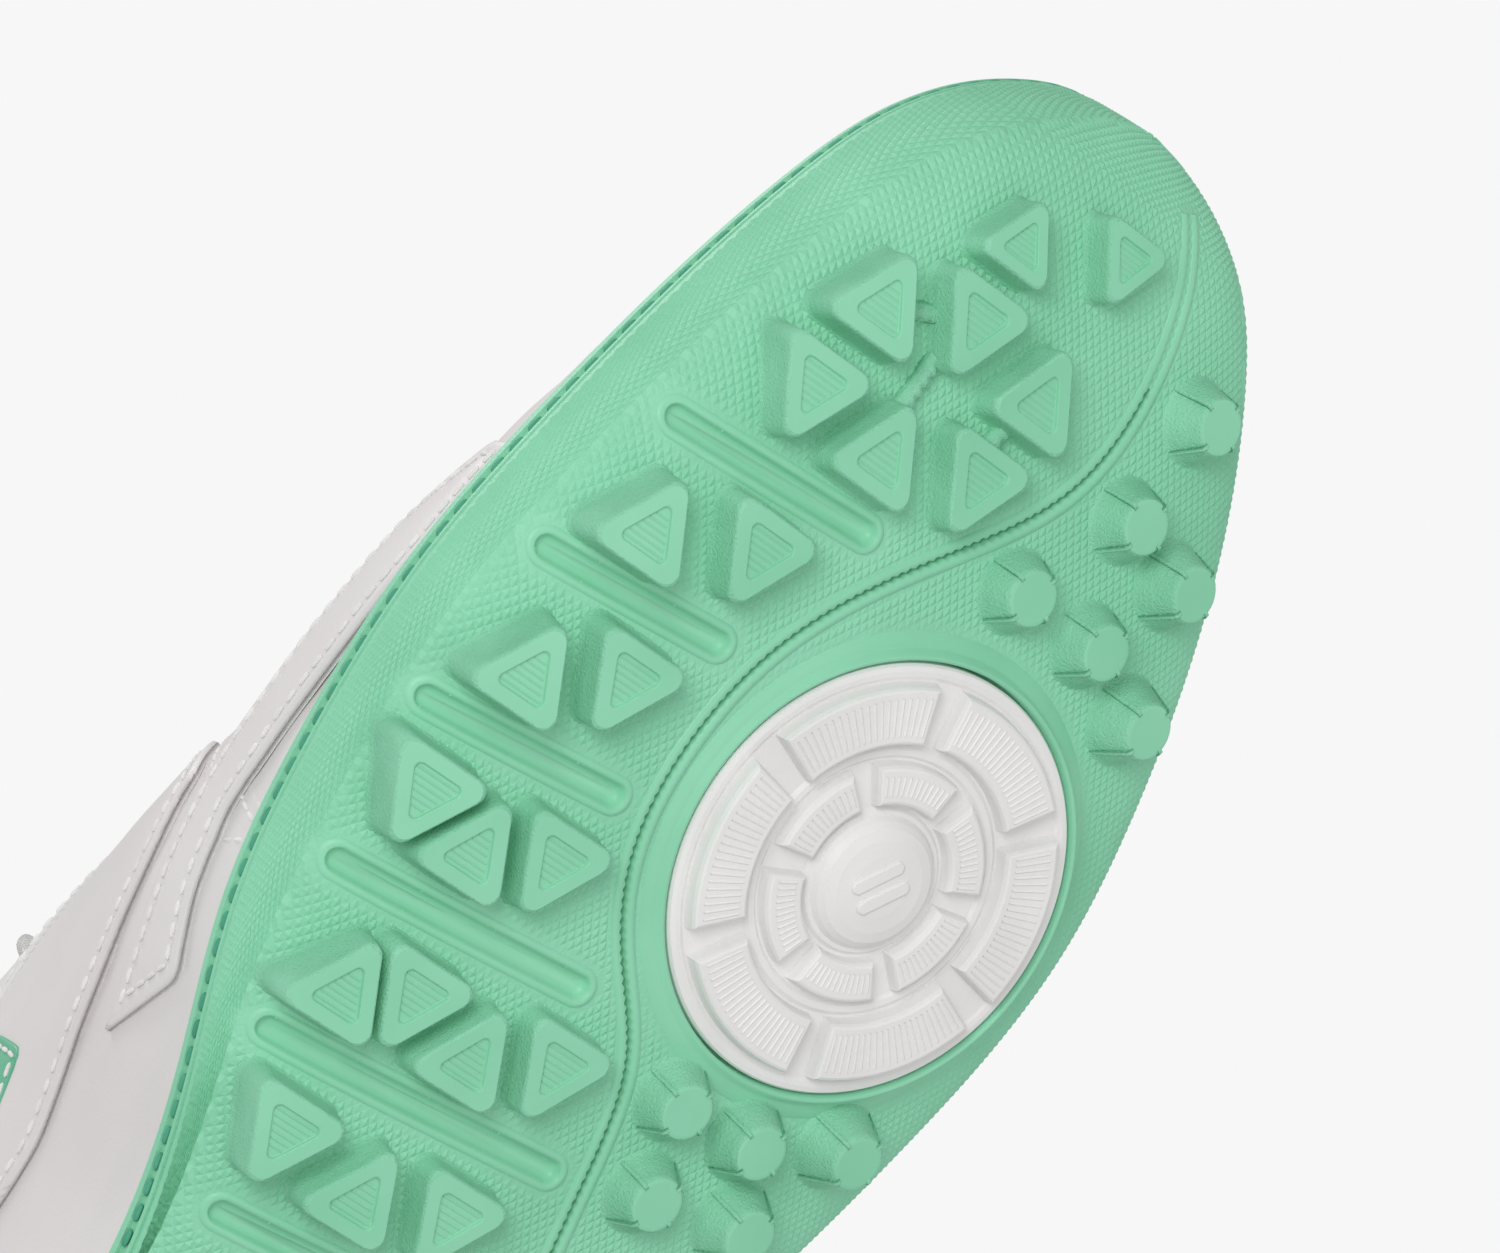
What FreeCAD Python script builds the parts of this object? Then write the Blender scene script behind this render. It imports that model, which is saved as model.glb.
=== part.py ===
"""Right-foot turf football shoe, as an assembly of its separate pieces.

Frame: +X to the toe, +Y to the medial side, +Z up.  The origin is on the ground under the
middle of the shoe.  Millimetres.
"""
import FreeCAD, Part
import Sketcher
import math
import os

V = FreeCAD.Vector
DOC = FreeCAD.newDocument("turf_shoe")

# ---------------------------------------------------------------- driving dimensions
DIMENSIONS = [
    ("half_length", 145.0, "half of the sole's length"),
    ("lug_height", 4.0, "lug tip to the sole's underside"),
    ("floor_thick", 3.2, "sole under the midsole"),
    ("cup_wall", 2.8, "side wall of the cup sole"),
    ("leather", 1.4, "outer skin of the upper"),
    ("padding", 2.0, "foam, stiffener and reinforcement layer"),
    ("lining", 0.8, "textile lining"),
    ("overlay", 1.2, "pieces stitched on top of the outer skin"),
    ("backing", 1.0, "webbing behind the lace holes"),
    ("board_thick", 1.6, "insole board"),
    ("sock_thick", 4.0, "removable sockliner"),
    ("free_gap", 0.4, "clearance round pieces that move"),
    ("glue_gap", 0.15, "glue line between the midsole and the outsole"),
    ("tongue_drop", 11.5, "depth of the tongue's face below the cup sole's surface"),
    ("tongue_foam", 4.0, "foam inside the tongue"),
    ("tongue_skin", 0.9, "each face of the tongue"),
    ("ball_x", 62.0, "where the toe starts to rise"),
    ("disc_x", 58.0, "centre of the round insert"),
    ("disc_y", 15.4, "centre of the round insert"),
    ("disc_radius", 26.1, "round insert"),
    ("disc_fit", 0.25, "gap round the insert in its seat"),
    ("disc_seat", 2.0, "depth of the insert's seat"),
    ("disc_relief", 2.4, "height of the insert's blocks"),
    ("disc_blocks", 6.0, "blocks in each ring of the insert"),
    ("stud_foot", 5.1, "radius of a conical stud at its foot"),
    ("stud_tip", 3.4, "radius of a conical stud at its tip"),
    ("lug_side", 14.2, "side of a triangular lug's tip"),
    ("bar_width", 3.0, "flex channel across the sole"),
    ("bar_depth", 1.2, "flex channel across the sole"),
    ("groove_width", 1.0, "curved groove beside the insert"),
    ("groove_depth", 1.6, "curved groove beside the insert"),
    ("hole_radius", 2.1, "lace hole"),
    ("lace_radius", 1.25, "lace"),
    ("aglet_radius", 1.5, "lace tip"),
    ("aglet_length", 14.0, "lace tip"),
    ("tab_width", 12.0, "heel pull tab"),
    ("tab_thick", 1.4, "heel pull tab"),
    ("bind_depth", 4.0, "binding round the foot opening"),
    ("collar_depth", 24.0, "padded collar"),
]

SHEET = DOC.addObject("Spreadsheet::Sheet", "Dimensions")
for row, (alias, number, meaning) in enumerate(DIMENSIONS, start=1):
    SHEET.set("A%d" % row, alias)
    SHEET.set("B%d" % row, str(number))
    SHEET.setAlias("B%d" % row, alias)
    SHEET.set("C%d" % row, meaning)
DOC.recompute()


def dim(alias):
    """A driving dimension, read back from the sheet."""
    return float(SHEET.get(alias))


HALF = dim("half_length")
LUG = dim("lug_height")
MEAN_WIDTH = 42.0  # half width at which an offset layer has exactly its stated thickness

# ---------------------------------------------------------------- the shoe's shape
# x, lateral edge, medial edge, height of the widest point over the sole, top of the form
STATIONS = [
    (-145.0, -7.6, 4.4, 22.0, 116.0), (-142.5, -15.1, 11.9, 19.0, 130.0), (-137.0, -24.1, 20.9, 16.0, 138.0),
    (-126.0, -32.1, 28.9, 14.0, 142.0), (-108.0, -36.1, 32.9, 12.0, 144.0), (-80.0, -35.6, 31.9, 11.0, 142.0),
    (-50.0, -32.6, 29.4, 9.0, 126.0), (-25.0, -33.6, 30.9, 9.0, 106.0), (-5.0, -39.1, 36.4, 9.0, 95.0),
    (15.0, -46.1, 42.9, 9.5, 83.0), (35.0, -49.6, 47.9, 10.0, 71.5), (60.0, -50.9, 50.9, 10.0, 62.0),
    (80.0, -47.6, 48.4, 10.0, 58.0), (100.0, -41.6, 43.8, 10.0, 54.5), (118.0, -33.6, 37.9, 10.5, 51.0),
    (130.0, -25.1, 31.4, 11.0, 48.5), (138.0, -15.1, 23.9, 11.0, 46.0), (142.5, -5.1, 15.4, 10.5, 44.0),
    (145.0, 1.4, 9.4, 10.0, 42.0),
]
RING = 28  # points round each section
SOLE_ROUND = 2.9  # superellipse exponent under the widest point
TOP_ROUND = 2.0  # and over it


def sole_z(x):
    """Height of the sole's underside, without its lugs, along the middle."""
    toe = 0.0022 * max(0.0, x - dim("ball_x")) ** 2
    arch = 3.0 * math.exp(-(((x + 38.0) / 28.0) ** 2))
    heel = 0.003 * max(0.0, -115.0 - x) ** 2
    return LUG + toe + arch + heel


def board_z(x):
    """Height of the insole board's underside: it drops from the heel to the ball."""
    toe = 0.0018 * max(0.0, x - dim("ball_x")) ** 2
    step = min(1.0, max(0.0, (20.0 - x) / 90.0))
    return 12.4 + 3.4 * step * step * (3.0 - 2.0 * step) + toe


def end_rise(x):
    """Rounding of the sole's lower edge at the toe and the heel."""
    share = min(0.98, max(0.0, (abs(x) - 131.0) / 15.0))
    return 10.0 * (1.0 - (1.0 - share ** 2.4) ** (1.0 / 2.4))


def ring_point(step, half, up, down):
    """One point of a section round its widest point: across and up."""
    angle = 2.0 * math.pi * step / RING
    power, reach = (TOP_ROUND, up) if step <= RING / 2 else (SOLE_ROUND, down)
    across = math.copysign(abs(math.cos(angle)) ** (2.0 / power), math.cos(angle))
    along = math.copysign(abs(math.sin(angle)) ** (2.0 / power), math.sin(angle))
    return half * across, reach * along


def ring_parameters():
    """Spacing round a typical section, shared by all so that lofts through them stay light."""
    places = [0.0]
    for step in range(RING):
        here = ring_point(step, 42.0, 80.0, 12.0)
        there = ring_point(step + 1, 42.0, 80.0, 12.0)
        places.append(places[-1] + math.hypot(there[0] - here[0], there[1] - here[1]))
    return places


PARAMETERS = ring_parameters()


def section(station, inset, floor):
    """Closed wire of one cross-section, inset by a layer's depth, its bottom raised by floor."""
    x, lateral, medial, widest, top = station
    shrink = 1.0 - inset / MEAN_WIDTH
    centre = (lateral + medial) / 2.0
    half = (medial - lateral) / 2.0 * shrink
    low = sole_z(x) + floor + end_rise(x)
    middle = sole_z(x) + widest + inset * 0.25
    high = max(top - inset, middle + 4.0)
    points = []
    for step in range(RING):
        across, along = ring_point(step, half, high - middle, middle - low)
        points.append(V(x * (HALF - inset) / HALF, centre + across, middle + along))
    curve = Part.BSplineCurve()
    curve.interpolate(Points=points, PeriodicFlag=True, Parameters=PARAMETERS)
    return Part.Wire(curve.toShape())


FORMS = {}


def form(inset, floor=None):
    """The whole shoe's closed form at an inset from the cup sole's surface."""
    if floor is None:
        floor = dim("floor_thick")
    key = (round(inset, 3), round(floor, 3))
    if key not in FORMS:
        wires = [section(station, inset, floor) for station in STATIONS]
        FORMS[key] = Part.makeLoft(wires, True, False)
    return FORMS[key]


def along_shoe(points):
    """Smooth reading of a value given at a few places along the shoe, as (x, value) pairs."""
    curve = Part.BSplineCurve()
    curve.interpolate(Points=[V(x, value, 0) for x, value in points], Parameters=[x for x, _ in points])
    return lambda x: curve.value(x).y


LATERAL = along_shoe([(station[0], station[1]) for station in STATIONS])
MEDIAL = along_shoe([(station[0], station[2]) for station in STATIONS])
WIDEST = along_shoe([(station[0], station[3]) for station in STATIONS])
CROWN = along_shoe([(station[0], station[4]) for station in STATIONS])


def form_section(x, inset):
    """Middle line, half width, height of the widest point and height of the crown at one x."""
    x = max(-HALF, min(HALF, x * HALF / (HALF - inset)))
    centre = (LATERAL(x) + MEDIAL(x)) / 2.0
    half = (MEDIAL(x) - LATERAL(x)) / 2.0 * (1.0 - inset / MEAN_WIDTH)
    middle = sole_z(x) + WIDEST(x) + inset * 0.25
    return centre, half, middle, CROWN(x) - inset


def crown_z(inset, x, y):
    """Height of the form's upper surface over a point."""
    centre, half, middle, high = form_section(x, inset)
    share = min(1.0, abs(y - centre) / half)
    return middle + (high - middle) * (1.0 - share ** TOP_ROUND) ** (1.0 / TOP_ROUND)


def wall_y(x, z, medial, inset=0.0):
    """Where the form's surface stands at one x and height, over its widest point."""
    centre, half, middle, high = form_section(x, inset)
    share = min(1.0, max(0.0, z - middle) / (high - middle))
    reach = half * (1.0 - share ** TOP_ROUND) ** (1.0 / TOP_ROUND)
    return centre + reach if medial else centre - reach


# ---------------------------------------------------------------- cutting shapes
BIG = 90.0
FAR_OUT = 200.0
FAR_DOWN = -40.0
FAR_UP = 190.0


def spline_edge(points):
    curve = Part.BSplineCurve()
    curve.interpolate(Points=points)
    return curve.toShape()


def under(heights, offset=0.0):
    """Everything below a side-view curve, given as (x, z) points from heel to toe."""
    points = [V(x, -BIG, z + offset) for x, z in heights]
    first, last = points[0], points[-1]
    corners = [last, V(FAR_OUT, -BIG, last.z), V(FAR_OUT, -BIG, FAR_DOWN),
               V(-FAR_OUT, -BIG, FAR_DOWN), V(-FAR_OUT, -BIG, first.z), first]
    edges = [spline_edge(points)]
    edges += [Part.makeLine(here, there) for here, there in zip(corners, corners[1:])]
    return Part.Face(Part.Wire(edges)).extrude(V(0, 2 * BIG, 0))


def side_region(points):
    """A straight-edged side-view outline, carried right through the shoe."""
    corners = [V(x, -BIG, z) for x, z in points]
    return Part.Face(Part.makePolygon(corners + corners[:1])).extrude(V(0, 2 * BIG, 0))


def half_space(medial):
    """The side of the shoe's middle line that one quarter covers."""
    low = 0.0 if medial else -2 * BIG
    return Part.makeBox(400.0, 2 * BIG, FAR_UP - FAR_DOWN, V(-200.0, low, FAR_DOWN))


def sampled(height):
    """(x, z) points of a height formula along the whole shoe."""
    return [(x, height(x)) for x in range(-160, 161, 16)]


CUP_TOP = [(-165, 31.0), (-145, 28.0), (-125, 23.0), (-95, 18.0), (-60, 15.5), (-25, 15.0), (0, 16.0),
           (20, 19.0), (45, 20.2), (75, 21.0), (100, 24.3), (120, 29.0), (145, 37.5), (165, 46.0)]
TOPLINE = [(-165, 96.0), (-148, 92.0), (-135, 86.0), (-118, 77.0), (-95, 70.5), (-72, 71.5),
           (-53, 82.0), (-38, 98.0), (-28, 112.0), (-20, 130.0), (-14, 170.0)]
BELOW_CUP_TOP = under(CUP_TOP)
BELOW_BOARD = under(sampled(board_z))
BELOW_BOARD_TOP = under(sampled(board_z), dim("board_thick"))
BELOW_TOPLINE = under(TOPLINE)

THROAT_MIDDLE = 0.0


def throat(widening):
    """The U-shaped opening over the tongue, seen from above, carried through the shoe."""
    front = 52.0
    radius = 9.0 + widening
    back_half = 12.5 + widening
    back = -75.0
    lift = math.radians(1.6)
    start = V(front + radius * math.sin(lift), THROAT_MIDDLE - radius * math.cos(lift), 30.0)
    end = V(start.x, 2 * THROAT_MIDDLE - start.y, 30.0)
    nose = V(front + radius, THROAT_MIDDLE, 30.0)
    corner = V(back, THROAT_MIDDLE - back_half, 30.0)
    other = V(back, THROAT_MIDDLE + back_half, 30.0)
    edges = [Part.Arc(start, nose, end).toShape(), Part.makeLine(end, other),
             Part.makeLine(other, corner), Part.makeLine(corner, start)]
    return Part.Face(Part.Wire(edges)).extrude(V(0, 0, FAR_UP))


THROAT = throat(0.0)
STAY_WIDTH = 15.0
STAY_SIDE = side_region([(-200, 86), (-46, 84), (-24, 73), (10, 64), (40, 52), (66, 42), (90, 36),
                         (200, 36), (200, 190), (-46, 190), (-200, 190)])
STAY_ZONE = throat(STAY_WIDTH).common(STAY_SIDE)

# ---------------------------------------------------------------- document helpers
NODES = []


def add_shape(name, shape):
    """Keep a shape built from the sheet's dimensions as one named sub-part."""
    feature = DOC.addObject("Part::Feature", name)
    feature.Shape = shape
    feature.Label = name
    feature.Placement = FreeCAD.Placement()
    NODES.append(feature)
    return feature


def solids_of(shape, least=2.0):
    """The shape's solids, without any slivers that a cut leaves."""
    kept = [solid for solid in shape.Solids if solid.Volume > least]
    return kept[0] if len(kept) == 1 else Part.makeCompound(kept)


def origin_plane(body, role):
    return [item for item in body.Origin.OriginFeatures if item.Role == role][0]


# ---------------------------------------------------------------- outsole
# Triangular lugs: x and y of the tip's centre, whether the tip points to the toe, size
FOREFOOT_LUGS = [
    (1.2, -7.9, False, 1.0), (-2.9, -19.6, True, 1.0), (-0.3, -32.8, False, 1.0),
    (21.5, -8.1, False, 1.0), (16.4, -18.5, True, 1.0), (19.8, -29.4, False, 1.0),
    (15.4, -37.6, True, 1.0), (40.5, -24.3, False, 1.0), (35.9, -34.2, True, 1.0),
    (39.2, -43.6, False, 1.0), (61.5, -30.4, False, 1.0), (55.3, -41.5, True, 1.0),
    (81.2, -24.9, False, 1.0), (75.6, -38.8, True, 1.0), (96.7, -17.4, True, 1.0),
    (99.3, -30.0, False, 1.0), (101.3, -4.1, False, 1.0), (111.9, -1.6, True, 1.0),
    (115.5, -14.4, False, 1.0), (110.2, -27.0, True, 1.0), (125.0, -13.6, True, 0.82),
    (131.0, 0.8, False, 0.82),
]
STUDS = [(89.4, 35.2), (105.0, 31.2), (93.8, 23.7), (107.9, 19.9), (122.0, 23.4), (94.0, 10.5),
         (30.6, 35.0), (25.6, 22.4), (14.4, 14.3), (25.0, 10.2), (16.9, 28.2)]
# Flex channels: medial end and lateral end
BARS = [((89.6, -11.6), (88.0, -39.6)), ((70.2, -20.6), (68.2, -44.6)), ((49.8, -20.6), (47.3, -46.1)),
        ((29.9, -9.6), (27.1, -43.6)), ((10.8, 1.9), (7.5, -38.6)), ((-10.0, -2.6), (-12.5, -29.6)),
        ((-66.0, 17.4), (-66.0, -20.6)), ((-86.0, 19.4), (-86.0, -22.6)), ((-106.0, 19.4), (-106.0, -22.6))]
GROOVE = [(-30.0, 12.4), (-10.0, 11.9), (10.0, 7.4), (26.3, 1.8), (36.3, -7.6), (46.0, -13.9), (58.8, -16.1),
          (72.0, -14.0), (83.8, -7.6), (96.3, 3.0), (107.5, 11.2), (120.0, 14.3), (132.0, 13.4), (141.0, 10.6)]


def heel_lugs():
    """Lugs of the heel: columns between the flex channels, pointing forward and back in turn."""
    lugs = []
    for column, x in enumerate((-76.0, -96.0, -116.0)):
        for row, y in enumerate((18.0, 5.0, -8.0, -21.0)):
            forward = (row + column) % 2 == 0
            lugs.append((x + (-2.0 if forward else 2.0), y, forward, 0.95))
    lugs += [(-132.0, 10.5, False, 0.82), (-134.0, -1.5, True, 0.82), (-132.0, -13.5, False, 0.82)]
    return lugs


def triangle(size, z):
    """Equilateral wire whose corner points along +X."""
    reach = size / math.sqrt(3.0)
    corners = [V(reach * math.cos(turn), reach * math.sin(turn), z)
               for turn in (0.0, 2.0 * math.pi / 3.0, 4.0 * math.pi / 3.0)]
    return Part.makePolygon(corners + corners[:1])


def stand_on_sole(shape, x, y, turn):
    """Move a lug, modelled tip down on z = 0, to its place on the sole's curve."""
    slope = math.degrees(math.atan((sole_z(x + 1.0) - sole_z(x - 1.0)) / 2.0))
    shape.rotate(V(0, 0, 0), V(0, 0, 1), turn)
    shape.rotate(V(0, 0, LUG), V(0, 1, 0), -slope)
    shape.translate(V(x, y, sole_z(x) - LUG))
    return shape


def lug(x, y, forward, scale):
    side = dim("lug_side") * scale
    foot = side + 1.8
    rise = LUG + 3.5
    body = Part.makeLoft([triangle(side, 0.0), triangle(foot, rise)], True, True)
    recess = Part.Face(triangle(side * 0.56, -1.0)).extrude(V(0, 0, 1.5))
    return stand_on_sole(body.cut(recess), x, y, 0.0 if forward else 180.0)


def stud(x, y):
    rise = LUG + 2.5
    flare = (dim("stud_foot") - dim("stud_tip")) / LUG
    cone = Part.makeCone(dim("stud_tip"), dim("stud_tip") + flare * rise, rise)
    return stand_on_sole(cone, x, y, 0.0)


def bar(medial_end, lateral_end):
    """Round-ended cutter for one flex channel."""
    start = V(medial_end[0], medial_end[1], FAR_DOWN)
    end = V(lateral_end[0], lateral_end[1], FAR_DOWN)
    along = (end - start).normalize()
    side = V(-along.y, along.x, 0) * (dim("bar_width") / 2.0)
    tip = along * (dim("bar_width") / 2.0)
    edges = [Part.makeLine(start + side, end + side), Part.Arc(end + side, end + tip, end - side).toShape(),
             Part.makeLine(end - side, start - side), Part.Arc(start - side, start - tip, start + side).toShape()]
    reach = sole_z((medial_end[0] + lateral_end[0]) / 2.0) + dim("bar_depth") - FAR_DOWN
    return Part.Face(Part.Wire(edges)).extrude(V(0, 0, reach))


def groove_cutter():
    """Curved groove between the lugs and the insert, of even depth along the rising toe."""
    middle = Part.BSplineCurve()
    middle.interpolate(Points=[V(x, y, 0) for x, y in GROOVE])
    first, last = middle.FirstParameter, middle.LastParameter
    count = 3 * len(GROOVE)
    half = dim("groove_width") / 2.0
    left, right = [], []
    for step in range(count + 1):
        at = first + (last - first) * step / count
        direction = middle.tangent(at)[0]
        side = V(-direction.y, direction.x, 0) * half
        left.append(middle.value(at) + side)
        right.append(middle.value(at) - side)
    right.reverse()
    edges = [spline_edge(left), Part.makeLine(left[-1], right[0]),
             spline_edge(right), Part.makeLine(right[-1], left[0])]
    band = Part.Face(Part.Wire(edges)).extrude(V(0, 0, 60.0))
    return band.common(under(sampled(sole_z), dim("groove_depth")))


def make_outsole():
    cup = form(0.0, 0.0).common(BELOW_CUP_TOP)
    blocks = [lug(*place) for place in FOREFOOT_LUGS + heel_lugs()]
    blocks += [stud(x, y) for x, y in STUDS]
    whole = cup.fuse(blocks)
    seat = Part.makeCylinder(dim("disc_radius") + dim("disc_fit"), LUG + dim("disc_seat") + 10.0,
                             V(dim("disc_x"), dim("disc_y"), -10.0))
    whole = whole.cut([form(dim("cup_wall")), seat, groove_cutter()] + [bar(*ends) for ends in BARS])
    add_shape("outsole", solids_of(whole, 1000.0))


# ---------------------------------------------------------------- round insert
def make_pivot_disc():
    """Round insert: a turned plate with two raised rings and a dome, cut into blocks."""
    body = DOC.addObject("PartDesign::Body", "pivot_disc")
    body.Label = "pivot_disc"
    sketch = body.newObject("Sketcher::SketchObject", "DiscProfile")
    sketch.AttachmentSupport = [(origin_plane(body, "XZ_Plane"), "")]
    sketch.MapMode = "FlatFace"
    radius = dim("disc_radius")
    seat = dim("disc_seat")
    relief = dim("disc_relief")
    plate = -0.3
    # radius and depth below the plate, from the middle outwards
    profile = [(0.0, seat), (radius, seat), (radius, plate), (24.6, plate - 0.4), (23.2, plate - relief * 0.45),
               (18.2, plate - relief), (16.2, plate - relief), (15.4, plate), (14.2, plate),
               (13.2, plate - relief * 0.9), (10.4, plate - relief * 0.9), (9.4, plate), (8.6, plate),
               (7.2, plate - relief * 0.8), (0.0, plate - relief)]
    count = len(profile)
    for index in range(count):
        here = profile[index]
        there = profile[(index + 1) % count]
        sketch.addGeometry(Part.LineSegment(V(here[0], here[1], 0), V(there[0], there[1], 0)), False)
    for index in range(count):
        sketch.addConstraint(Sketcher.Constraint("Coincident", index, 2, (index + 1) % count, 1))
    sketch.addConstraint(Sketcher.Constraint("PointOnObject", 0, 1, -2))
    sketch.addConstraint(Sketcher.Constraint("Vertical", count - 1))
    width = sketch.addConstraint(Sketcher.Constraint("DistanceX", -1, 1, 0, 2, radius))
    sketch.setExpression("Constraints[%d]" % width, "Dimensions.disc_radius")
    depth = sketch.addConstraint(Sketcher.Constraint("DistanceY", -1, 1, 0, 1, seat))
    sketch.setExpression("Constraints[%d]" % depth, "Dimensions.disc_seat")
    turned = body.newObject("PartDesign::Revolution", "DiscTurned")
    turned.Profile = sketch
    turned.ReferenceAxis = (sketch, ["V_Axis"])
    turned.Angle = 360.0
    DOC.recompute()

    slots = body.newObject("Sketcher::SketchObject", "BlockGaps")
    slots.AttachmentSupport = [(origin_plane(body, "XY_Plane"), "")]
    slots.MapMode = "FlatFace"
    outline = [(15.6, -1.8), (30.0, -1.8), (30.0, 1.8), (15.6, 1.8)]
    inner = [(9.2, 2.6), (14.9, 2.6), (14.9, 5.2), (9.2, 5.2)]
    for loop in (outline, inner):
        for index, here in enumerate(loop):
            there = loop[(index + 1) % 4]
            slots.addGeometry(Part.LineSegment(V(here[0], here[1], 0), V(there[0], there[1], 0)), False)
    pocket = body.newObject("PartDesign::Pocket", "BlockGap")
    pocket.Profile = slots
    pocket.Type = 1
    pocket.Reversed = True
    pocket.setExpression("Length", "Dimensions.disc_relief + 3")
    DOC.recompute()
    before = turned.Shape.Volume
    if pocket.Shape.Volume > before - 1.0:
        pocket.Reversed = False
        DOC.recompute()
    ring = body.newObject("PartDesign::PolarPattern", "BlockGapRing")
    ring.Originals = [pocket]
    ring.Axis = (slots, ["N_Axis"])
    ring.Angle = 360.0
    ring.setExpression("Occurrences", "Dimensions.disc_blocks")
    body.Tip = ring
    body.setExpression("Placement.Base.x", "Dimensions.disc_x")
    body.setExpression("Placement.Base.y", "Dimensions.disc_y")
    body.setExpression("Placement.Base.z", "Dimensions.lug_height")
    DOC.recompute()
    NODES.append(body)


# ---------------------------------------------------------------- midsole and insoles
def make_insoles():
    glue = dim("glue_gap")
    bed = form(dim("cup_wall") + glue, dim("floor_thick") + glue)
    add_shape("midsole", solids_of(bed.common(BELOW_BOARD)))
    board = bed.common(BELOW_BOARD_TOP).cut(BELOW_BOARD)
    add_shape("insole_board", solids_of(board))
    free = dim("free_gap")
    inside = form(INSIDE + free)
    low = under(sampled(board_z), dim("board_thick") + free)
    high = under(sampled(board_z), dim("board_thick") + free + dim("sock_thick"))
    add_shape("sockliner", solids_of(inside.common(high).cut(low)))


# ---------------------------------------------------------------- upper
SKIN = dim("cup_wall")
SKIN_BACK = SKIN + dim("leather")
PAD_BACK = SKIN_BACK + dim("padding")
INSIDE = PAD_BACK + dim("lining")
STAY_BACK = SKIN_BACK + dim("backing")
FACE = SKIN - dim("overlay")

VAMP_FRONT = side_region([(24, -30), (18, 30), (30, 60), (48, 74), (60, 88), (70, 160), (200, 160), (200, -30)])
TOE_ZONE = side_region([(101, -30), (101, 160), (200, 160), (200, -30)])
HEEL_ZONE = side_region([(-200, -30), (-84, -30), (-88, 40), (-100, 66), (-200, 66)])
HEEL_COVER = side_region([(-200, -30), (-92, -30), (-96, 30), (-104, 55), (-122, 84), (-200, 84)])
SADDLE = side_region([(-84, -30), (-74, 30), (-52, 50), (-30, 66), (-24, 140), (27, 140), (28, 56), (24, 48),
                      (14, 44.5), (3, 44.5), (-7, 44.5), (-20, 42), (-34, 43.5), (-48, 36), (-58, 20), (-62, -30)])
FLASH = side_region([(-31, 50), (-13.5, 56.5), (-14.5, 67), (-33, 60)])
WING = side_region([(-5, 37), (5, 25), (13, 28), (24, 30), (35, 28), (46, 25.5), (60, 23), (76, 16), (74, 29),
                    (60, 38), (45, 41), (30, 41), (20, 40), (7, 38)])
COLLAR_FRONT = side_region([(-200, -30), (-36, -30), (-36, 190), (-200, 190)])


def layer(outer, inner, below=BELOW_TOPLINE, throat_zone=THROAT):
    """One closed skin of the upper, between two insets, open over the foot and the tongue."""
    skin = form(outer).cut([form(inner), BELOW_BOARD_TOP, throat_zone])
    return skin.common(below)


def make_upper():
    binding_line = under(TOPLINE, -dim("bind_depth"))
    collar_line = under(TOPLINE, -dim("collar_depth"))

    leather = layer(SKIN, SKIN_BACK, binding_line)
    add_shape("vamp", solids_of(leather.common(VAMP_FRONT)))
    quarters = leather.cut(VAMP_FRONT)
    add_shape("quarter_lateral", solids_of(quarters.common(half_space(False))))
    add_shape("quarter_medial", solids_of(quarters.common(half_space(True))))

    middle = layer(SKIN_BACK, PAD_BACK, binding_line, STAY_ZONE)
    add_shape("toe_puff", solids_of(middle.common(TOE_ZONE)))
    add_shape("heel_stiffener", solids_of(middle.common(HEEL_ZONE)))
    soft = middle.cut([TOE_ZONE, HEEL_ZONE])
    collar = soft.cut(collar_line).common(COLLAR_FRONT)
    add_shape("collar_padding", solids_of(collar))
    foam = soft.cut(collar)
    add_shape("foam_lateral", solids_of(foam.common(half_space(False))))
    add_shape("foam_medial", solids_of(foam.common(half_space(True))))

    backing = layer(SKIN_BACK, STAY_BACK, binding_line).common(STAY_ZONE)
    add_shape("eyestay_backing_lateral", solids_of(backing.common(half_space(False))))
    add_shape("eyestay_backing_medial", solids_of(backing.common(half_space(True))))

    lining = layer(PAD_BACK, INSIDE, binding_line, STAY_ZONE)
    add_shape("vamp_lining", solids_of(lining.common(VAMP_FRONT)))
    add_shape("quarter_lining", solids_of(lining.cut(VAMP_FRONT)))

    rim = layer(SKIN, INSIDE).cut(binding_line)
    add_shape("topline_binding", solids_of(rim))

    over = layer(FACE, SKIN, binding_line).cut(BELOW_CUP_TOP)
    stays = over.common(STAY_ZONE)
    add_shape("eyestay_lateral", solids_of(stays.common(half_space(False))))
    add_shape("eyestay_medial", solids_of(stays.common(half_space(True))))
    sides = over.cut(STAY_ZONE)
    saddles = sides.common(SADDLE).cut(FLASH)
    add_shape("saddle_lateral", solids_of(saddles.common(half_space(False))))
    add_shape("saddle_medial", solids_of(saddles.common(half_space(True))))
    flashes = sides.common(SADDLE).common(FLASH)
    add_shape("side_patch_lateral", solids_of(flashes.common(half_space(False))))
    add_shape("side_patch_medial", solids_of(flashes.common(half_space(True))))
    wings = sides.common(WING)
    add_shape("side_wing_lateral", solids_of(wings.common(half_space(False))))
    add_shape("side_wing_medial", solids_of(wings.common(half_space(True))))
    add_shape("heel_cover", solids_of(sides.common(HEEL_COVER)))


# ---------------------------------------------------------------- tongue
# Tongue: x, half width, and how far it rises to the seam at its front
TONGUE_PLAN = [(66.0, 10.5, 5.4), (59.0, 13.5, 3.2), (52.0, 15.5, 1.0), (36.0, 17.5, 0.0), (14.0, 17.5, 0.0),
               (-8.0, 16.0, 0.0), (-28.0, 14.0, 0.0), (-42.0, 13.0, 0.0), (-50.0, 11.5, 0.0), (-54.0, 9.0, 0.0)]


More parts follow.
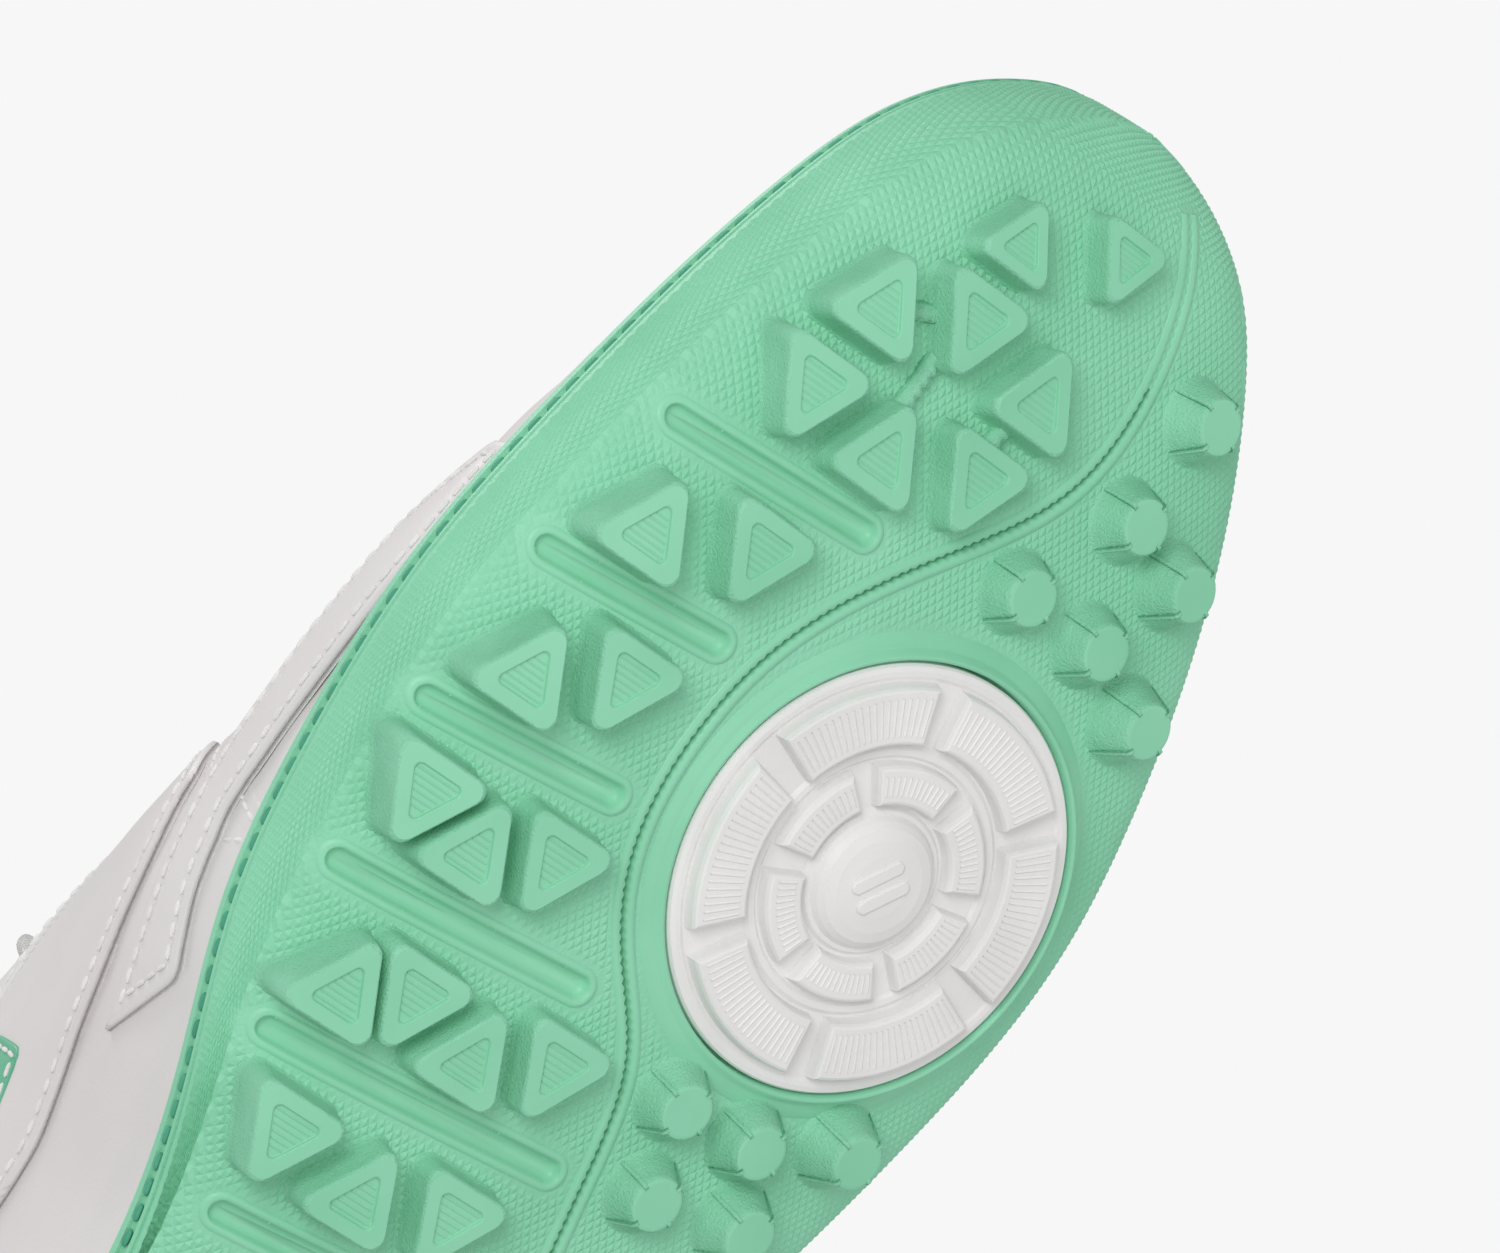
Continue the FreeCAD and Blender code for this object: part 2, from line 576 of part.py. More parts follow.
def tongue_layer(outer, inner):
    """One layer of the tongue, curved across like the form's crown between two depths."""
    wires = []
    for x, half, rise in TONGUE_PLAN:
        across = [THROAT_MIDDLE + half * step / 6.0 for step in range(-6, 7)]
        top = [V(x, y, crown_z(outer - rise, x, y)) for y in across]
        under_side = [V(x, y, crown_z(inner - rise, x, y)) for y in reversed(across)]
        edges = [spline_edge(top), Part.makeLine(top[-1], under_side[0]),
                 spline_edge(under_side), Part.makeLine(under_side[-1], top[0])]
        wires.append(Part.Wire(edges))
    return Part.makeLoft(wires, True, False)


def make_tongue():
    """Tongue: a foam core between two skins, under the throat."""
    face_back = dim("tongue_drop") + dim("tongue_skin")
    foam_back = face_back + dim("tongue_foam")
    add_shape("tongue_face", tongue_layer(dim("tongue_drop"), face_back))
    add_shape("tongue_foam", tongue_layer(face_back, foam_back))
    add_shape("tongue_lining", tongue_layer(foam_back, foam_back + dim("tongue_skin")))


# ---------------------------------------------------------------- lace
ROWS = 6


def lace_rows():
    """Lace holes from the front up: x, and how far each is from the throat's middle."""
    rows = []
    for index in range(ROWS):
        x = 50.0 - 14.0 * index
        rows.append((x, 9.0 + 3.5 * (52.0 - x) / 127.0 + 6.5))
    return rows


def hole_point(row, side, inset):
    x, out = lace_rows()[row]
    y = THROAT_MIDDLE + side * out
    return V(x, y, crown_z(inset, x, y))


def hole_axis(row, side):
    """Outward direction of a lace hole, square to the upper's surface."""
    x, out = lace_rows()[row]
    y = THROAT_MIDDLE + side * out
    here = crown_z(FACE, x, y)
    rise_x = crown_z(FACE, x + 1.0, y) - here
    rise_y = crown_z(FACE, x, y + 1.0) - here
    return V(-rise_x, -rise_y, 1.0).normalize()


def lace_points():
    """The lace's whole route, from one tucked end to the other."""
    top, low = {}, {}
    for row in range(ROWS):
        for side in (-1, 1):
            axis = hole_axis(row, side)
            face = hole_point(row, side, FACE)
            top[row, side] = face + axis * (dim("lace_radius") + 0.9)
            low[row, side] = face - axis * ((STAY_BACK - FACE) * 0.85 + dim("lace_radius") + 0.35)

    def over_tongue(x, side, height):
        y = THROAT_MIDDLE + side * 5.5
        return V(x, y, crown_z(SKIN, x, y) + height)

    def crossing(row_from, side_from, row_to, height):
        """Two points over the tongue between holes on opposite sides."""
        x_from, x_to = lace_rows()[row_from][0], lace_rows()[row_to][0]
        points = []
        for share, side in ((0.36, side_from), (0.64, -side_from)):
            x = x_from + (x_to - x_from) * share
            points.append(over_tongue(x, side, height))
        return points

    def tail(side):
        """End tucked inside the shoe, under the row of holes."""
        y = THROAT_MIDDLE + side * 17.5
        beside = dim("tongue_drop") - dim("lace_radius") - 1.2
        points = [V(-25.0, y, crown_z(beside, -25.0, y))]
        for x, z, off in ((-30.0, 58.0, 1.9), (-34.0, 45.0, 3.4)):
            points.append(V(x, wall_y(x, z, side > 0, INSIDE + dim("lace_radius") + off), z))
        return points

    def strand(side):
        """From the bar at the front up to the last holes, starting on one side."""
        height = 0.2 if side < 0 else 3.6
        points = [low[0, side], top[0, side]]
        for row in range(1, ROWS - 1):
            points += crossing(row - 1, side, row, height)
            side = -side
            points += [low[row, side], top[row, side]]
        points += crossing(ROWS - 2, side, ROWS - 1, height)
        side = -side
        points += [top[ROWS - 1, side], low[ROWS - 1, side]]
        return points + tail(side)

    first = strand(-1)
    second = strand(1)
    first.reverse()
    front_x = lace_rows()[0][0]
    return first + [over_tongue(front_x, -1, -1.0), over_tongue(front_x, 1, -1.0)] + second


def rounded_wire(points):
    """Straight runs joined by tangent arcs as large as the runs allow."""
    edges = []
    radii = []
    previous = points[0]
    for index in range(1, len(points) - 1):
        here = points[index]
        back = points[index - 1] - here
        ahead = points[index + 1] - here
        turn = math.pi - back.getAngle(ahead)
        reach = 0.45 * min(back.Length, ahead.Length)
        radii.append(reach / math.tan(turn / 2.0))
        enter = here + back.normalize() * reach
        leave = here + ahead.normalize() * reach
        bulge = (enter + leave) * 0.5
        centre_way = (bulge - here).normalize()
        centre = here + centre_way * (radii[-1] / math.cos(turn / 2.0))
        middle = centre - centre_way * radii[-1]
        edges.append(Part.LineSegment(previous, enter).toShape())
        edges.append(Part.Arc(enter, middle, leave).toShape())
        previous = leave
    edges.append(Part.LineSegment(previous, points[-1]).toShape())
    return Part.Wire(edges), radii


def make_lace():
    points = lace_points()
    wire, radii = rounded_wire(points)
    first = wire.Edges[0]
    start_way = first.tangentAt(first.FirstParameter)
    profile = Part.Wire(Part.makeCircle(dim("lace_radius"), points[0], start_way))
    tube = wire.makePipeShell([profile], True, False)
    print("lace: length %.1f, smallest radius %.2f, volume ratio %.3f"
          % (wire.Length, min(radii), tube.Volume / (math.pi * dim("lace_radius") ** 2 * wire.Length)))
    add_shape("lace", tube)
    for name, end, inner in (("aglet_medial", points[0], points[1]), ("aglet_lateral", points[-1], points[-2])):
        way = (end - inner).normalize()
        aglet = DOC.addObject("Part::Cylinder", name)
        aglet.Label = name
        aglet.setExpression("Radius", "Dimensions.aglet_radius")
        aglet.setExpression("Height", "Dimensions.aglet_length")
        aglet.Placement = FreeCAD.Placement(end, FreeCAD.Rotation(V(0, 0, 1), way))
        NODES.append(aglet)


def punch_lace_holes():
    """Cut the lace holes through every layer of the two eyestays."""
    pins = []
    for row in range(ROWS):
        for side in (-1, 1):
            axis = hole_axis(row, side)
            foot = hole_point(row, side, FACE) - axis * 9.0
            pins.append(Part.makeCylinder(dim("hole_radius"), 13.0, foot, axis))
    layers = ("eyestay_", "eyestay_backing_", "quarter_", "saddle_", "vamp")
    for node in NODES:
        if node.Label.startswith(layers) and node.Label not in ("quarter_lining", "vamp_lining"):
            node.Shape = solids_of(node.Shape.cut(pins))


# ---------------------------------------------------------------- small fittings
TAB_MIDDLE = -1.6


def make_pull_tab():
    """Webbing loop over the back of the collar, one leg sewn outside and one inside."""
    body = DOC.addObject("PartDesign::Body", "heel_pull_tab")
    body.Label = "heel_pull_tab"
    sketch = body.newObject("Sketcher::SketchObject", "TabLoop")
    sketch.AttachmentSupport = [(origin_plane(body, "XZ_Plane"), "")]
    sketch.MapMode = "FlatFace"
    thick = dim("tab_thick")
    outer = (HALF - FACE) + 0.05 + thick
    inner = (HALF - INSIDE) - 1.0 - thick
    centre = -(outer + inner) / 2.0
    radius = (outer - inner) / 2.0
    foot, spring = 66.0, 97.0
    middle = V(centre, spring, 0)
    wide = (V(centre - radius, spring, 0), V(centre + radius, spring, 0))
    slim = (V(centre - radius + thick, spring, 0), V(centre + radius - thick, spring, 0))
    drop = V(0, foot - spring, 0)
    up = V(0, 0, 1)
    sketch.addGeometry(Part.ArcOfCircle(Part.Circle(middle, up, radius), 0.0, math.pi), False)
    sketch.addGeometry(Part.LineSegment(wide[0], wide[0] + drop), False)
    sketch.addGeometry(Part.LineSegment(wide[0] + drop, slim[0] + drop), False)
    sketch.addGeometry(Part.LineSegment(slim[0] + drop, slim[0]), False)
    sketch.addGeometry(Part.ArcOfCircle(Part.Circle(middle, up, radius - thick), 0.0, math.pi), False)
    sketch.addGeometry(Part.LineSegment(slim[1], slim[1] + drop), False)
    sketch.addGeometry(Part.LineSegment(slim[1] + drop, wide[1] + drop), False)
    sketch.addGeometry(Part.LineSegment(wide[1] + drop, wide[1]), False)
    pad = body.newObject("PartDesign::Pad", "TabWidth")
    pad.Profile = sketch
    pad.Midplane = True
    pad.setExpression("Length", "Dimensions.tab_width")
    body.Tip = pad
    body.Placement = FreeCAD.Placement(V(0, TAB_MIDDLE, 0), FreeCAD.Rotation())
    DOC.recompute()
    NODES.append(body)


def make_sidewall_stitching():
    """Row of thread stitches that hold the cup sole's edge to the upper, round the forefoot."""
    top_line = along_shoe(CUP_TOP)
    reach = HALF - 0.6
    route = [V(x, wall_y(x, top_line(x) - 3.4, False), top_line(x) - 3.4) for x in (18, 35, 55, 75, 95, 110, 122,
                                                                                    132, 139, 143)]
    back = [V(x, wall_y(x, top_line(x) - 3.4, True), top_line(x) - 3.4) for x in (143, 139, 132, 122, 110, 95, 75,
                                                                                  55, 35, 18)]
    nose = V(reach, (route[-1].y + back[0].y) / 2.0, top_line(reach) - 3.4)
    curve = Part.BSplineCurve()
    curve.interpolate(Points=route + [nose] + back)
    places = curve.discretize(Number=96)
    stitches = []
    for index in range(1, len(places) - 1):
        way = (places[index + 1] - places[index - 1]).normalize()
        stitches.append(Part.makeCylinder(0.45, 2.3, places[index] - way * 1.15, way))
    add_shape("sidewall_stitching", Part.makeCompound(stitches))


# ---------------------------------------------------------------- assemble, test and write
def write_parts():
    DOC.recompute()
    for item in DOC.Objects:
        if "Invalid" in item.State or "Error" in item.State:
            raise RuntimeError("%s did not rebuild" % item.Label)
    for node in NODES:
        shape = node.Shape
        if shape.isNull() or not shape.isValid() or not shape.Solids:
            raise RuntimeError("%s is not a valid solid" % node.Label)
    os.makedirs("parts", exist_ok=True)
    for node in NODES:
        node.Shape.exportStep("parts/%s.step" % node.Label)
        box = node.Shape.BoundBox
        print("%-26s %2d solids %9.0f mm3  x %.1f..%.1f  y %.1f..%.1f  z %.1f..%.1f"
              % (node.Label, len(node.Shape.Solids), node.Shape.Volume,
                 box.XMin, box.XMax, box.YMin, box.YMax, box.ZMin, box.ZMax))


make_outsole()
make_pivot_disc()
make_insoles()
make_upper()
make_tongue()
make_lace()
punch_lace_holes()
make_pull_tab()
make_sidewall_stitching()
write_parts()
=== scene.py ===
"""Right-foot turf football shoe: how it looks.  Millimetres in the helpers, metres in the meshes."""

import math

import bpy
import numpy as np
from mathutils import Matrix, Vector, geometry


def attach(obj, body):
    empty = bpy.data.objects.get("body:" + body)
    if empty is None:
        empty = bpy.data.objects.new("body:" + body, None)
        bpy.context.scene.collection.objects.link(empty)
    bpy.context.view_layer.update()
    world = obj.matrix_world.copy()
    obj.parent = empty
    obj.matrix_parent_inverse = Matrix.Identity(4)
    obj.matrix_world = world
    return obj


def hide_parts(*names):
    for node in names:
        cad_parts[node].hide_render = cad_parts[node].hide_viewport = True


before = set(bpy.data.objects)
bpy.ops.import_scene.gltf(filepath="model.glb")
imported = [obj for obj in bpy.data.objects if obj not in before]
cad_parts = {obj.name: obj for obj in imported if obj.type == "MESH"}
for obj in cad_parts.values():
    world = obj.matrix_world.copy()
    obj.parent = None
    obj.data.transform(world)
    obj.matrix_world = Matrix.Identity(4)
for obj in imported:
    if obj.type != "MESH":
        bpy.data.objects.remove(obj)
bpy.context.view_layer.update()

# ---------------------------------------------------------------- the shoe's form
HALF = 145.0
MEAN_WIDTH = 42.0
SOLE_ROUND = 2.9
TOP_ROUND = 2.0
LUG = 4.0
TOE_SPRING_X, ARCH_X, HEEL_SPRING_X = 62.0, -38.0, -115.0
END_X, END_LENGTH, END_RISE, END_ROUND = 131.0, 15.0, 10.0, 2.4
# depths under the form: leather, inner face of the lining, overlays, back of the lace facing
SKIN, INSIDE, FACE, STAY_BACK = 2.8, 7.0, 1.6, 5.2
FULL = 90.0  # length given to the half girth in the flat plan of a panel

# x, lateral, medial, widest height over the sole, crown
STATIONS = np.array([
    (-145.9, -1.6, -1.6, 22, 114), (-145, -7.6, 4.4, 22, 116), (-142.5, -15.1, 11.9, 19, 130),
    (-137, -24.1, 20.9, 16, 138), (-126, -32.1, 28.9, 14, 142), (-108, -36.1, 32.9, 12, 144),
    (-80, -35.6, 31.9, 11, 142), (-50, -32.6, 29.4, 9, 126), (-25, -33.6, 30.9, 9, 106),
    (-5, -39.1, 36.4, 9, 95), (15, -46.1, 42.9, 9.5, 83), (35, -49.6, 47.9, 10, 71.5),
    (60, -50.9, 50.9, 10, 62), (80, -47.6, 48.4, 10, 58), (100, -41.6, 43.8, 10, 54.5),
    (118, -33.6, 37.9, 10.5, 51), (130, -25.8, 32.1, 11, 48.5), (138, -17.2, 26, 11, 46),
    (142.5, -9.4, 19.7, 10.5, 44), (145, -2.7, 13.5, 10, 42), (145.8, 1.8, 9, 10, 40.5),
    (146, 5.4, 5.4, 10, 40)])
CUP_TOP = [(-165, 31.0), (-145, 28.0), (-125, 23.0), (-95, 18.0), (-60, 15.5), (-25, 15.0), (0, 16.0),
           (20, 19.0), (45, 20.2), (75, 21.0), (100, 24.3), (120, 29.0), (145, 37.5), (165, 46.0)]
TOPLINE = [(-165, 96.0), (-148, 92.0), (-135, 86.0), (-118, 77.0), (-95, 70.5), (-72, 71.5),
           (-53, 82.0), (-38, 98.0), (-28, 112.0), (-20, 130.0), (-14, 170.0)]


def run_along(points):
    """Distance from the first point to each point of a polyline."""
    return np.concatenate([[0.0], np.cumsum(np.linalg.norm(np.diff(points, axis=0), axis=1))])


def unit(vectors):
    """Rows brought to length 1."""
    return vectors / np.maximum(np.linalg.norm(vectors, axis=1, keepdims=True), 1e-9)


def left_of(ways):
    """Plan vectors turned a quarter to the left."""
    return np.stack([-ways[:, 1], ways[:, 0]], -1)


def circle(count):
    """Even points of a circle of radius 1."""
    turns = np.linspace(0, 2 * math.pi, count, endpoint=False)
    return np.stack([np.cos(turns), np.sin(turns)], -1)


def spin(points, angle, a=0, b=1):
    """Points turned from axis a towards axis b."""
    points = np.array(points, float)
    c, s = math.cos(angle), math.sin(angle)
    points[:, a], points[:, b] = points[:, a] * c - points[:, b] * s, points[:, a] * s + points[:, b] * c
    return points


def stack(levels):
    """Rings of points from pairs of a plan outline and its height or heights."""
    return np.concatenate([np.column_stack([plan, np.broadcast_to(z, len(plan))]) for plan, z in levels])


def ease(value, low, high):
    """0 below low, 1 above high, smooth between."""
    share = np.clip((value - low) / (high - low), 0.0, 1.0)
    return share * share * (3.0 - 2.0 * share)


def bow(share, power):
    """Rounded profile: 1 at share 0 and 0 at share 1."""
    return (1.0 - share ** power) ** (1.0 / power)


def spline(knots, values):
    """Natural cubic spline through values at knots."""
    knots = np.asarray(knots, float)
    values = np.asarray(values, float)
    count = len(knots)
    gaps = np.diff(knots)
    system = np.eye(count)
    right = np.zeros_like(values)
    for i in range(1, count - 1):
        system[i, i - 1:i + 2] = gaps[i - 1], 2.0 * (gaps[i - 1] + gaps[i]), gaps[i]
        right[i] = 6.0 * ((values[i + 1] - values[i]) / gaps[i] - (values[i] - values[i - 1]) / gaps[i - 1])
    bend = np.linalg.solve(system, right)

    def at(place):
        place = np.asarray(place, float)
        i = np.clip(np.searchsorted(knots, place) - 1, 0, count - 2)
        gap = gaps[i]
        a, b = (knots[i + 1] - place) / gap, (place - knots[i]) / gap
        if values.ndim > 1:
            a, b, gap = a[..., None], b[..., None], gap[..., None]
        curve = ((a ** 3 - a) * bend[i] + (b ** 3 - b) * bend[i + 1]) * gap ** 2 / 6.0
        return a * values[i] + b * values[i + 1] + curve

    return at


def through(table):
    """Curve through (x, value) pairs."""
    return spline([row[0] for row in table], [row[1] for row in table])


cup_top = through(CUP_TOP)
topline = through(TOPLINE)
PLACES = np.concatenate([[0.0], np.cumsum(np.hypot(np.diff(STATIONS[:, 0]),
                                                   np.diff(STATIONS[:, 2] - STATIONS[:, 1]) / 2.0))])
SHOE = spline(PLACES, STATIONS)
T_END = PLACES[-1]
T_GRID = np.linspace(0.0, T_END, 901)
X_GRID = np.maximum.accumulate(SHOE(T_GRID)[:, 0])


def t_of_x(x, inset=0.0):
    """Place t along the shoe of an x at some depth under the form."""
    return np.interp(np.asarray(x, float) * HALF / (HALF - inset), X_GRID, T_GRID)


def sole_z(x):
    """Height of the sole's underside on its middle line: toe spring, arch and heel spring."""
    return (LUG + 0.0022 * np.maximum(0.0, x - TOE_SPRING_X) ** 2 + 3.0 * np.exp(-((x - ARCH_X) / 28.0) ** 2)
            + 0.003 * np.maximum(0.0, HEEL_SPRING_X - x) ** 2)


def end_rise(x):
    """Rounding of the sole's lower edge at the toe and the heel."""
    share = np.clip((np.abs(x) - END_X) / END_LENGTH, 0.0, 0.98)
    return END_RISE * (1.0 - bow(share, END_ROUND))


def shape_at(t, inset=0.0):
    """x, middle line, half width, lowest, widest and highest heights of the form at a place t."""
    x, lateral, medial, widest, crown = np.moveaxis(SHOE(t), -1, 0)
    centre = (lateral + medial) / 2.0
    half = np.maximum(0.0, medial - lateral) / 2.0 * (1.0 - inset / MEAN_WIDTH)
    low = sole_z(x) + end_rise(x)
    middle = low + widest + inset * 0.25
    high = np.maximum(crown - inset, middle + 4.0)
    return x * (HALF - inset) / HALF, centre, half, low, middle, high


def form(t, angle, inset=0.0):
    """Points of the form's surface."""
    x, centre, half, low, middle, high = shape_at(t, inset)
    c, s = np.cos(angle), np.sin(angle)
    power = np.where(s > 0, TOP_ROUND, SOLE_ROUND)
    reach = np.where(s > 0, high - middle, middle - low)
    y = centre + half * np.sign(c) * np.abs(c) ** (2.0 / power)
    z = middle + reach * np.sign(s) * np.abs(s) ** (2.0 / power)
    return np.stack([x + 0.0 * angle, y, z], -1)


def bottom_z(x, y):
    """Height of the sole's underside over a point."""
    _, centre, half, low, middle, _ = shape_at(t_of_x(x))
    share = np.clip(np.abs(y - centre) / np.maximum(half, 0.1), 0.0, 1.0)
    return middle - (middle - low) * bow(share, SOLE_ROUND)


def crown_z(inset, x, y):
    """Height of the form's upper surface over a point."""
    _, centre, half, _, middle, high = shape_at(t_of_x(x, inset), inset)
    share = np.clip(np.abs(y - centre) / half, 0.0, 1.0)
    return middle + (high - middle) * bow(share, TOP_ROUND)


def wall_point(x, z, side, inset=0.0):
    """Point of the form's side wall at one x and height; side is 1 medial, -1 lateral."""
    _, centre, half, low, middle, high = shape_at(t_of_x(x, inset), inset)
    up = np.clip((z - middle) / (high - middle), 0.0, 1.0)
    down = np.clip((middle - z) / (middle - low), 0.0, 1.0)
    wide = bow(up, TOP_ROUND) * bow(down, SOLE_ROUND)
    return np.stack(np.broadcast_arrays(x, centre + side * half * wide, z), -1)


def rim_point(t, z, side, inset):
    """Point of the side wall above its widest height, at a place t and a height."""
    x, centre, half, _, middle, high = shape_at(t, inset)
    up = np.clip((z - middle) / (high - middle), 0.0, 1.0)
    return float(x), float(centre + side * half * bow(up, TOP_ROUND)), float(z)


# ---------------------------------------------------------------- flat plan of the upper
P_GRID = np.linspace(0.0, 1.0, 121)


def side_table():
    """For each place t, the section angle at equal shares of the way from the crown to the sole."""
    angles = np.linspace(math.pi / 2.0, -1.3, 600)
    table = []
    for t in T_GRID:
        points = form(np.full(600, t), angles, SKIN)
        run = run_along(points)
        under = points[:, 2] < cup_top(points[0, 0]) - 3.5
        last = int(np.argmax(under)) if under.any() else 599
        last = max(last, 3)
        table.append(np.interp(P_GRID * run[last], run[:last + 1], angles[:last + 1]))
    return np.array(table)


SIDE_ANGLES = side_table()


def surface(t, q, inset):
    """Point of the upper: t along the shoe, q from -1 at the lateral sole over the crown to 1."""
    t = np.clip(t, 0.0, T_END)
    row = t / T_END * (len(T_GRID) - 1)
    col = np.clip(np.abs(q), 0.0, 1.0) * (len(P_GRID) - 1)
    i = np.clip(row.astype(int), 0, len(T_GRID) - 2)
    j = np.clip(col.astype(int), 0, len(P_GRID) - 2)
    a, b = row - i, col - j
    angle = ((1 - a) * (1 - b) * SIDE_ANGLES[i, j] + a * (1 - b) * SIDE_ANGLES[i + 1, j]
             + (1 - a) * b * SIDE_ANGLES[i, j + 1] + a * b * SIDE_ANGLES[i + 1, j + 1])
    return form(t, np.where(q >= 0, angle, math.pi - angle), inset)


def q_of_angle(t, angle):
    """Share of the way from the crown to the sole at a section angle."""
    row = int(round(float(t) / T_END * (len(T_GRID) - 1)))
    return float(np.interp(-angle, -SIDE_ANGLES[row], P_GRID))


def tq_side(x, z, side):
    """Flat-plan place of a point given in the side view."""
    t = float(t_of_x(x, SKIN))
    _, _, _, low, middle, high = shape_at(t, SKIN)
    if z >= middle:
        angle = math.asin(min(1.0, (z - middle) / (high - middle)) ** (TOP_ROUND / 2.0))
    else:
        angle = -math.asin(min(1.0, (middle - z) / (middle - low)) ** (SOLE_ROUND / 2.0))
    return t, side * q_of_angle(t, angle)


def tq_plan(x, y):
    """Flat-plan place of a point given in the view from above."""
    t = float(t_of_x(x, SKIN))
    _, centre, half, _, _, _ = shape_at(t, SKIN)
    share = min(1.0, abs(y - centre) / half)
    return t, math.copysign(q_of_angle(t, math.acos(share ** (TOP_ROUND / 2.0))), y - centre)


def crown_plan(places):
    """Plan for panels that cross the crown."""
    return places[:, 0], places[:, 1] / FULL


def heel_plan(places):
    """Plan for panels that cross the heel: t counted from the heel, negative on the lateral side."""
    side = np.where(places[:, 0] >= 0, 1.0, -1.0)
    return np.abs(places[:, 0]), side * np.clip(1.0 - places[:, 1] / FULL, 0.0, 1.0)


def lay(plan, places, inset):
    """Points, outward normals and the two slopes of places of a flat plan."""
    step = 0.05

    def at(moved):
        t, q = plan(moved)
        return surface(t, q, inset)

    here = at(places)
    along = at(places + [step, 0.0]) - at(places - [step, 0.0])
    across = at(places + [0.0, step]) - at(places - [0.0, step])
    normal = unit(np.cross(along, across))
    t, _ = plan(places)
    x, centre, _, _, middle, _ = shape_at(np.clip(t, 0, T_END), inset)
    outward = here - np.stack([np.clip(x, -115, 112), centre, middle + 8.0], -1)
    flip = np.sign((normal * outward).sum(1, keepdims=True))
    flip[flip == 0] = 1.0
    return here, normal * flip, along / (2 * step), across / (2 * step)


# ---------------------------------------------------------------- meshes
def keep(name, points, faces, finish, slot, replaces=(), body="shoe", smooth=True):
    """Make one piece from points in millimetres."""
    mesh = bpy.data.meshes.new(name)
    mesh.from_pydata((np.asarray(points, float) * 0.001).tolist(), [], [list(face) for face in faces])
    mesh.validate()
    mesh.update()
    obj = bpy.data.objects.new(name, mesh)
    bpy.context.scene.collection.objects.link(obj)
    obj.data.materials.append(finish)
    mesh.polygons.foreach_set("use_smooth", [smooth] * len(mesh.polygons))
    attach(obj, body)
    if replaces:
        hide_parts(*replaces)
    return obj


class Heap:
    """Collects many small shapes into one mesh."""

    def __init__(self):
        self.points = []
        self.faces = []
        self.count = 0

    def add(self, points, faces):
        points = np.asarray(points, float)
        self.points.append(points)
        self.faces += [[i + self.count for i in face] for face in faces]
        self.count += len(points)

    def keep(self, name, finish, slot, **options):
        return keep(name, np.concatenate(self.points), self.faces, finish, slot, **options)


def ring_faces(rings, size, closed=True, caps=(True, True)):
    """Faces between stacked rings of equal size."""
    faces = []
    last = size if closed else size - 1
    for level in range(rings - 1):
        for i in range(last):
            j = (i + 1) % size
            a, b = level * size, (level + 1) * size
            faces.append((a + i, a + j, b + j, b + i))
    if closed and caps[0]:
        faces.append(tuple(range(size))[::-1])
    if closed and caps[1]:
        faces.append(tuple(range((rings - 1) * size, rings * size)))
    return faces


def capsule(heap, start, end, radius, up):
    """Small rounded rod, for stitches."""
    sides = 6
    way = end - start
    length = np.linalg.norm(way)
    if length < 1e-6:
        return
    way = way / length
    side = np.cross(way, up)
    side = side / max(np.linalg.norm(side), 1e-9)
    over = np.cross(side, way)
    rings = []
    profile = ((0.0, 0.35), (0.12, 0.85), (0.3, 1.0), (0.7, 1.0), (0.88, 0.85), (1.0, 0.35))
    for share, wide in profile:
        middle = start + way * length * share
        rings += [middle + (side * c + over * s) * radius * wide for c, s in circle(sides)]
    heap.add(rings, ring_faces(len(profile), sides))


def tube(path, radius, sides, flat=1.0):
    """Points and faces of a tube along a path; flat squashes it along its own up direction."""
    path = np.asarray(path, float)
    ways = unit(np.gradient(path, axis=0))
    over = np.array([0.0, 0.0, 1.0])
    points = []
    for spot, way, wide in zip(path, ways, np.broadcast_to(radius, len(path))):
        over = over - way * over.dot(way)
        over = over / max(np.linalg.norm(over), 1e-9)
        side = np.cross(way, over)
        points += [spot + wide * (side * c + flat * over * s) for c, s in circle(sides)]
    return points, ring_faces(len(path), sides)


def resample(points, gap, closed=False):
    """Points evenly spaced along a polyline."""
    points = np.asarray(points, float)
    if closed:
        points = np.concatenate([points, points[:1]])
    run = run_along(points)
    count = max(3, int(round(run[-1] / gap)))
    places = np.linspace(0, run[-1], count + 1)
    if closed:
        places = places[:-1]
    return np.stack([np.interp(places, run, points[:, k]) for k in range(points.shape[1])], -1)


def smooth_line(points, gap):
    """Even points along a spline through a few."""
    points = np.asarray(points, float)
    run = run_along(points)
    return spline(run, points)(np.linspace(0, run[-1], max(3, int(run[-1] / gap))))


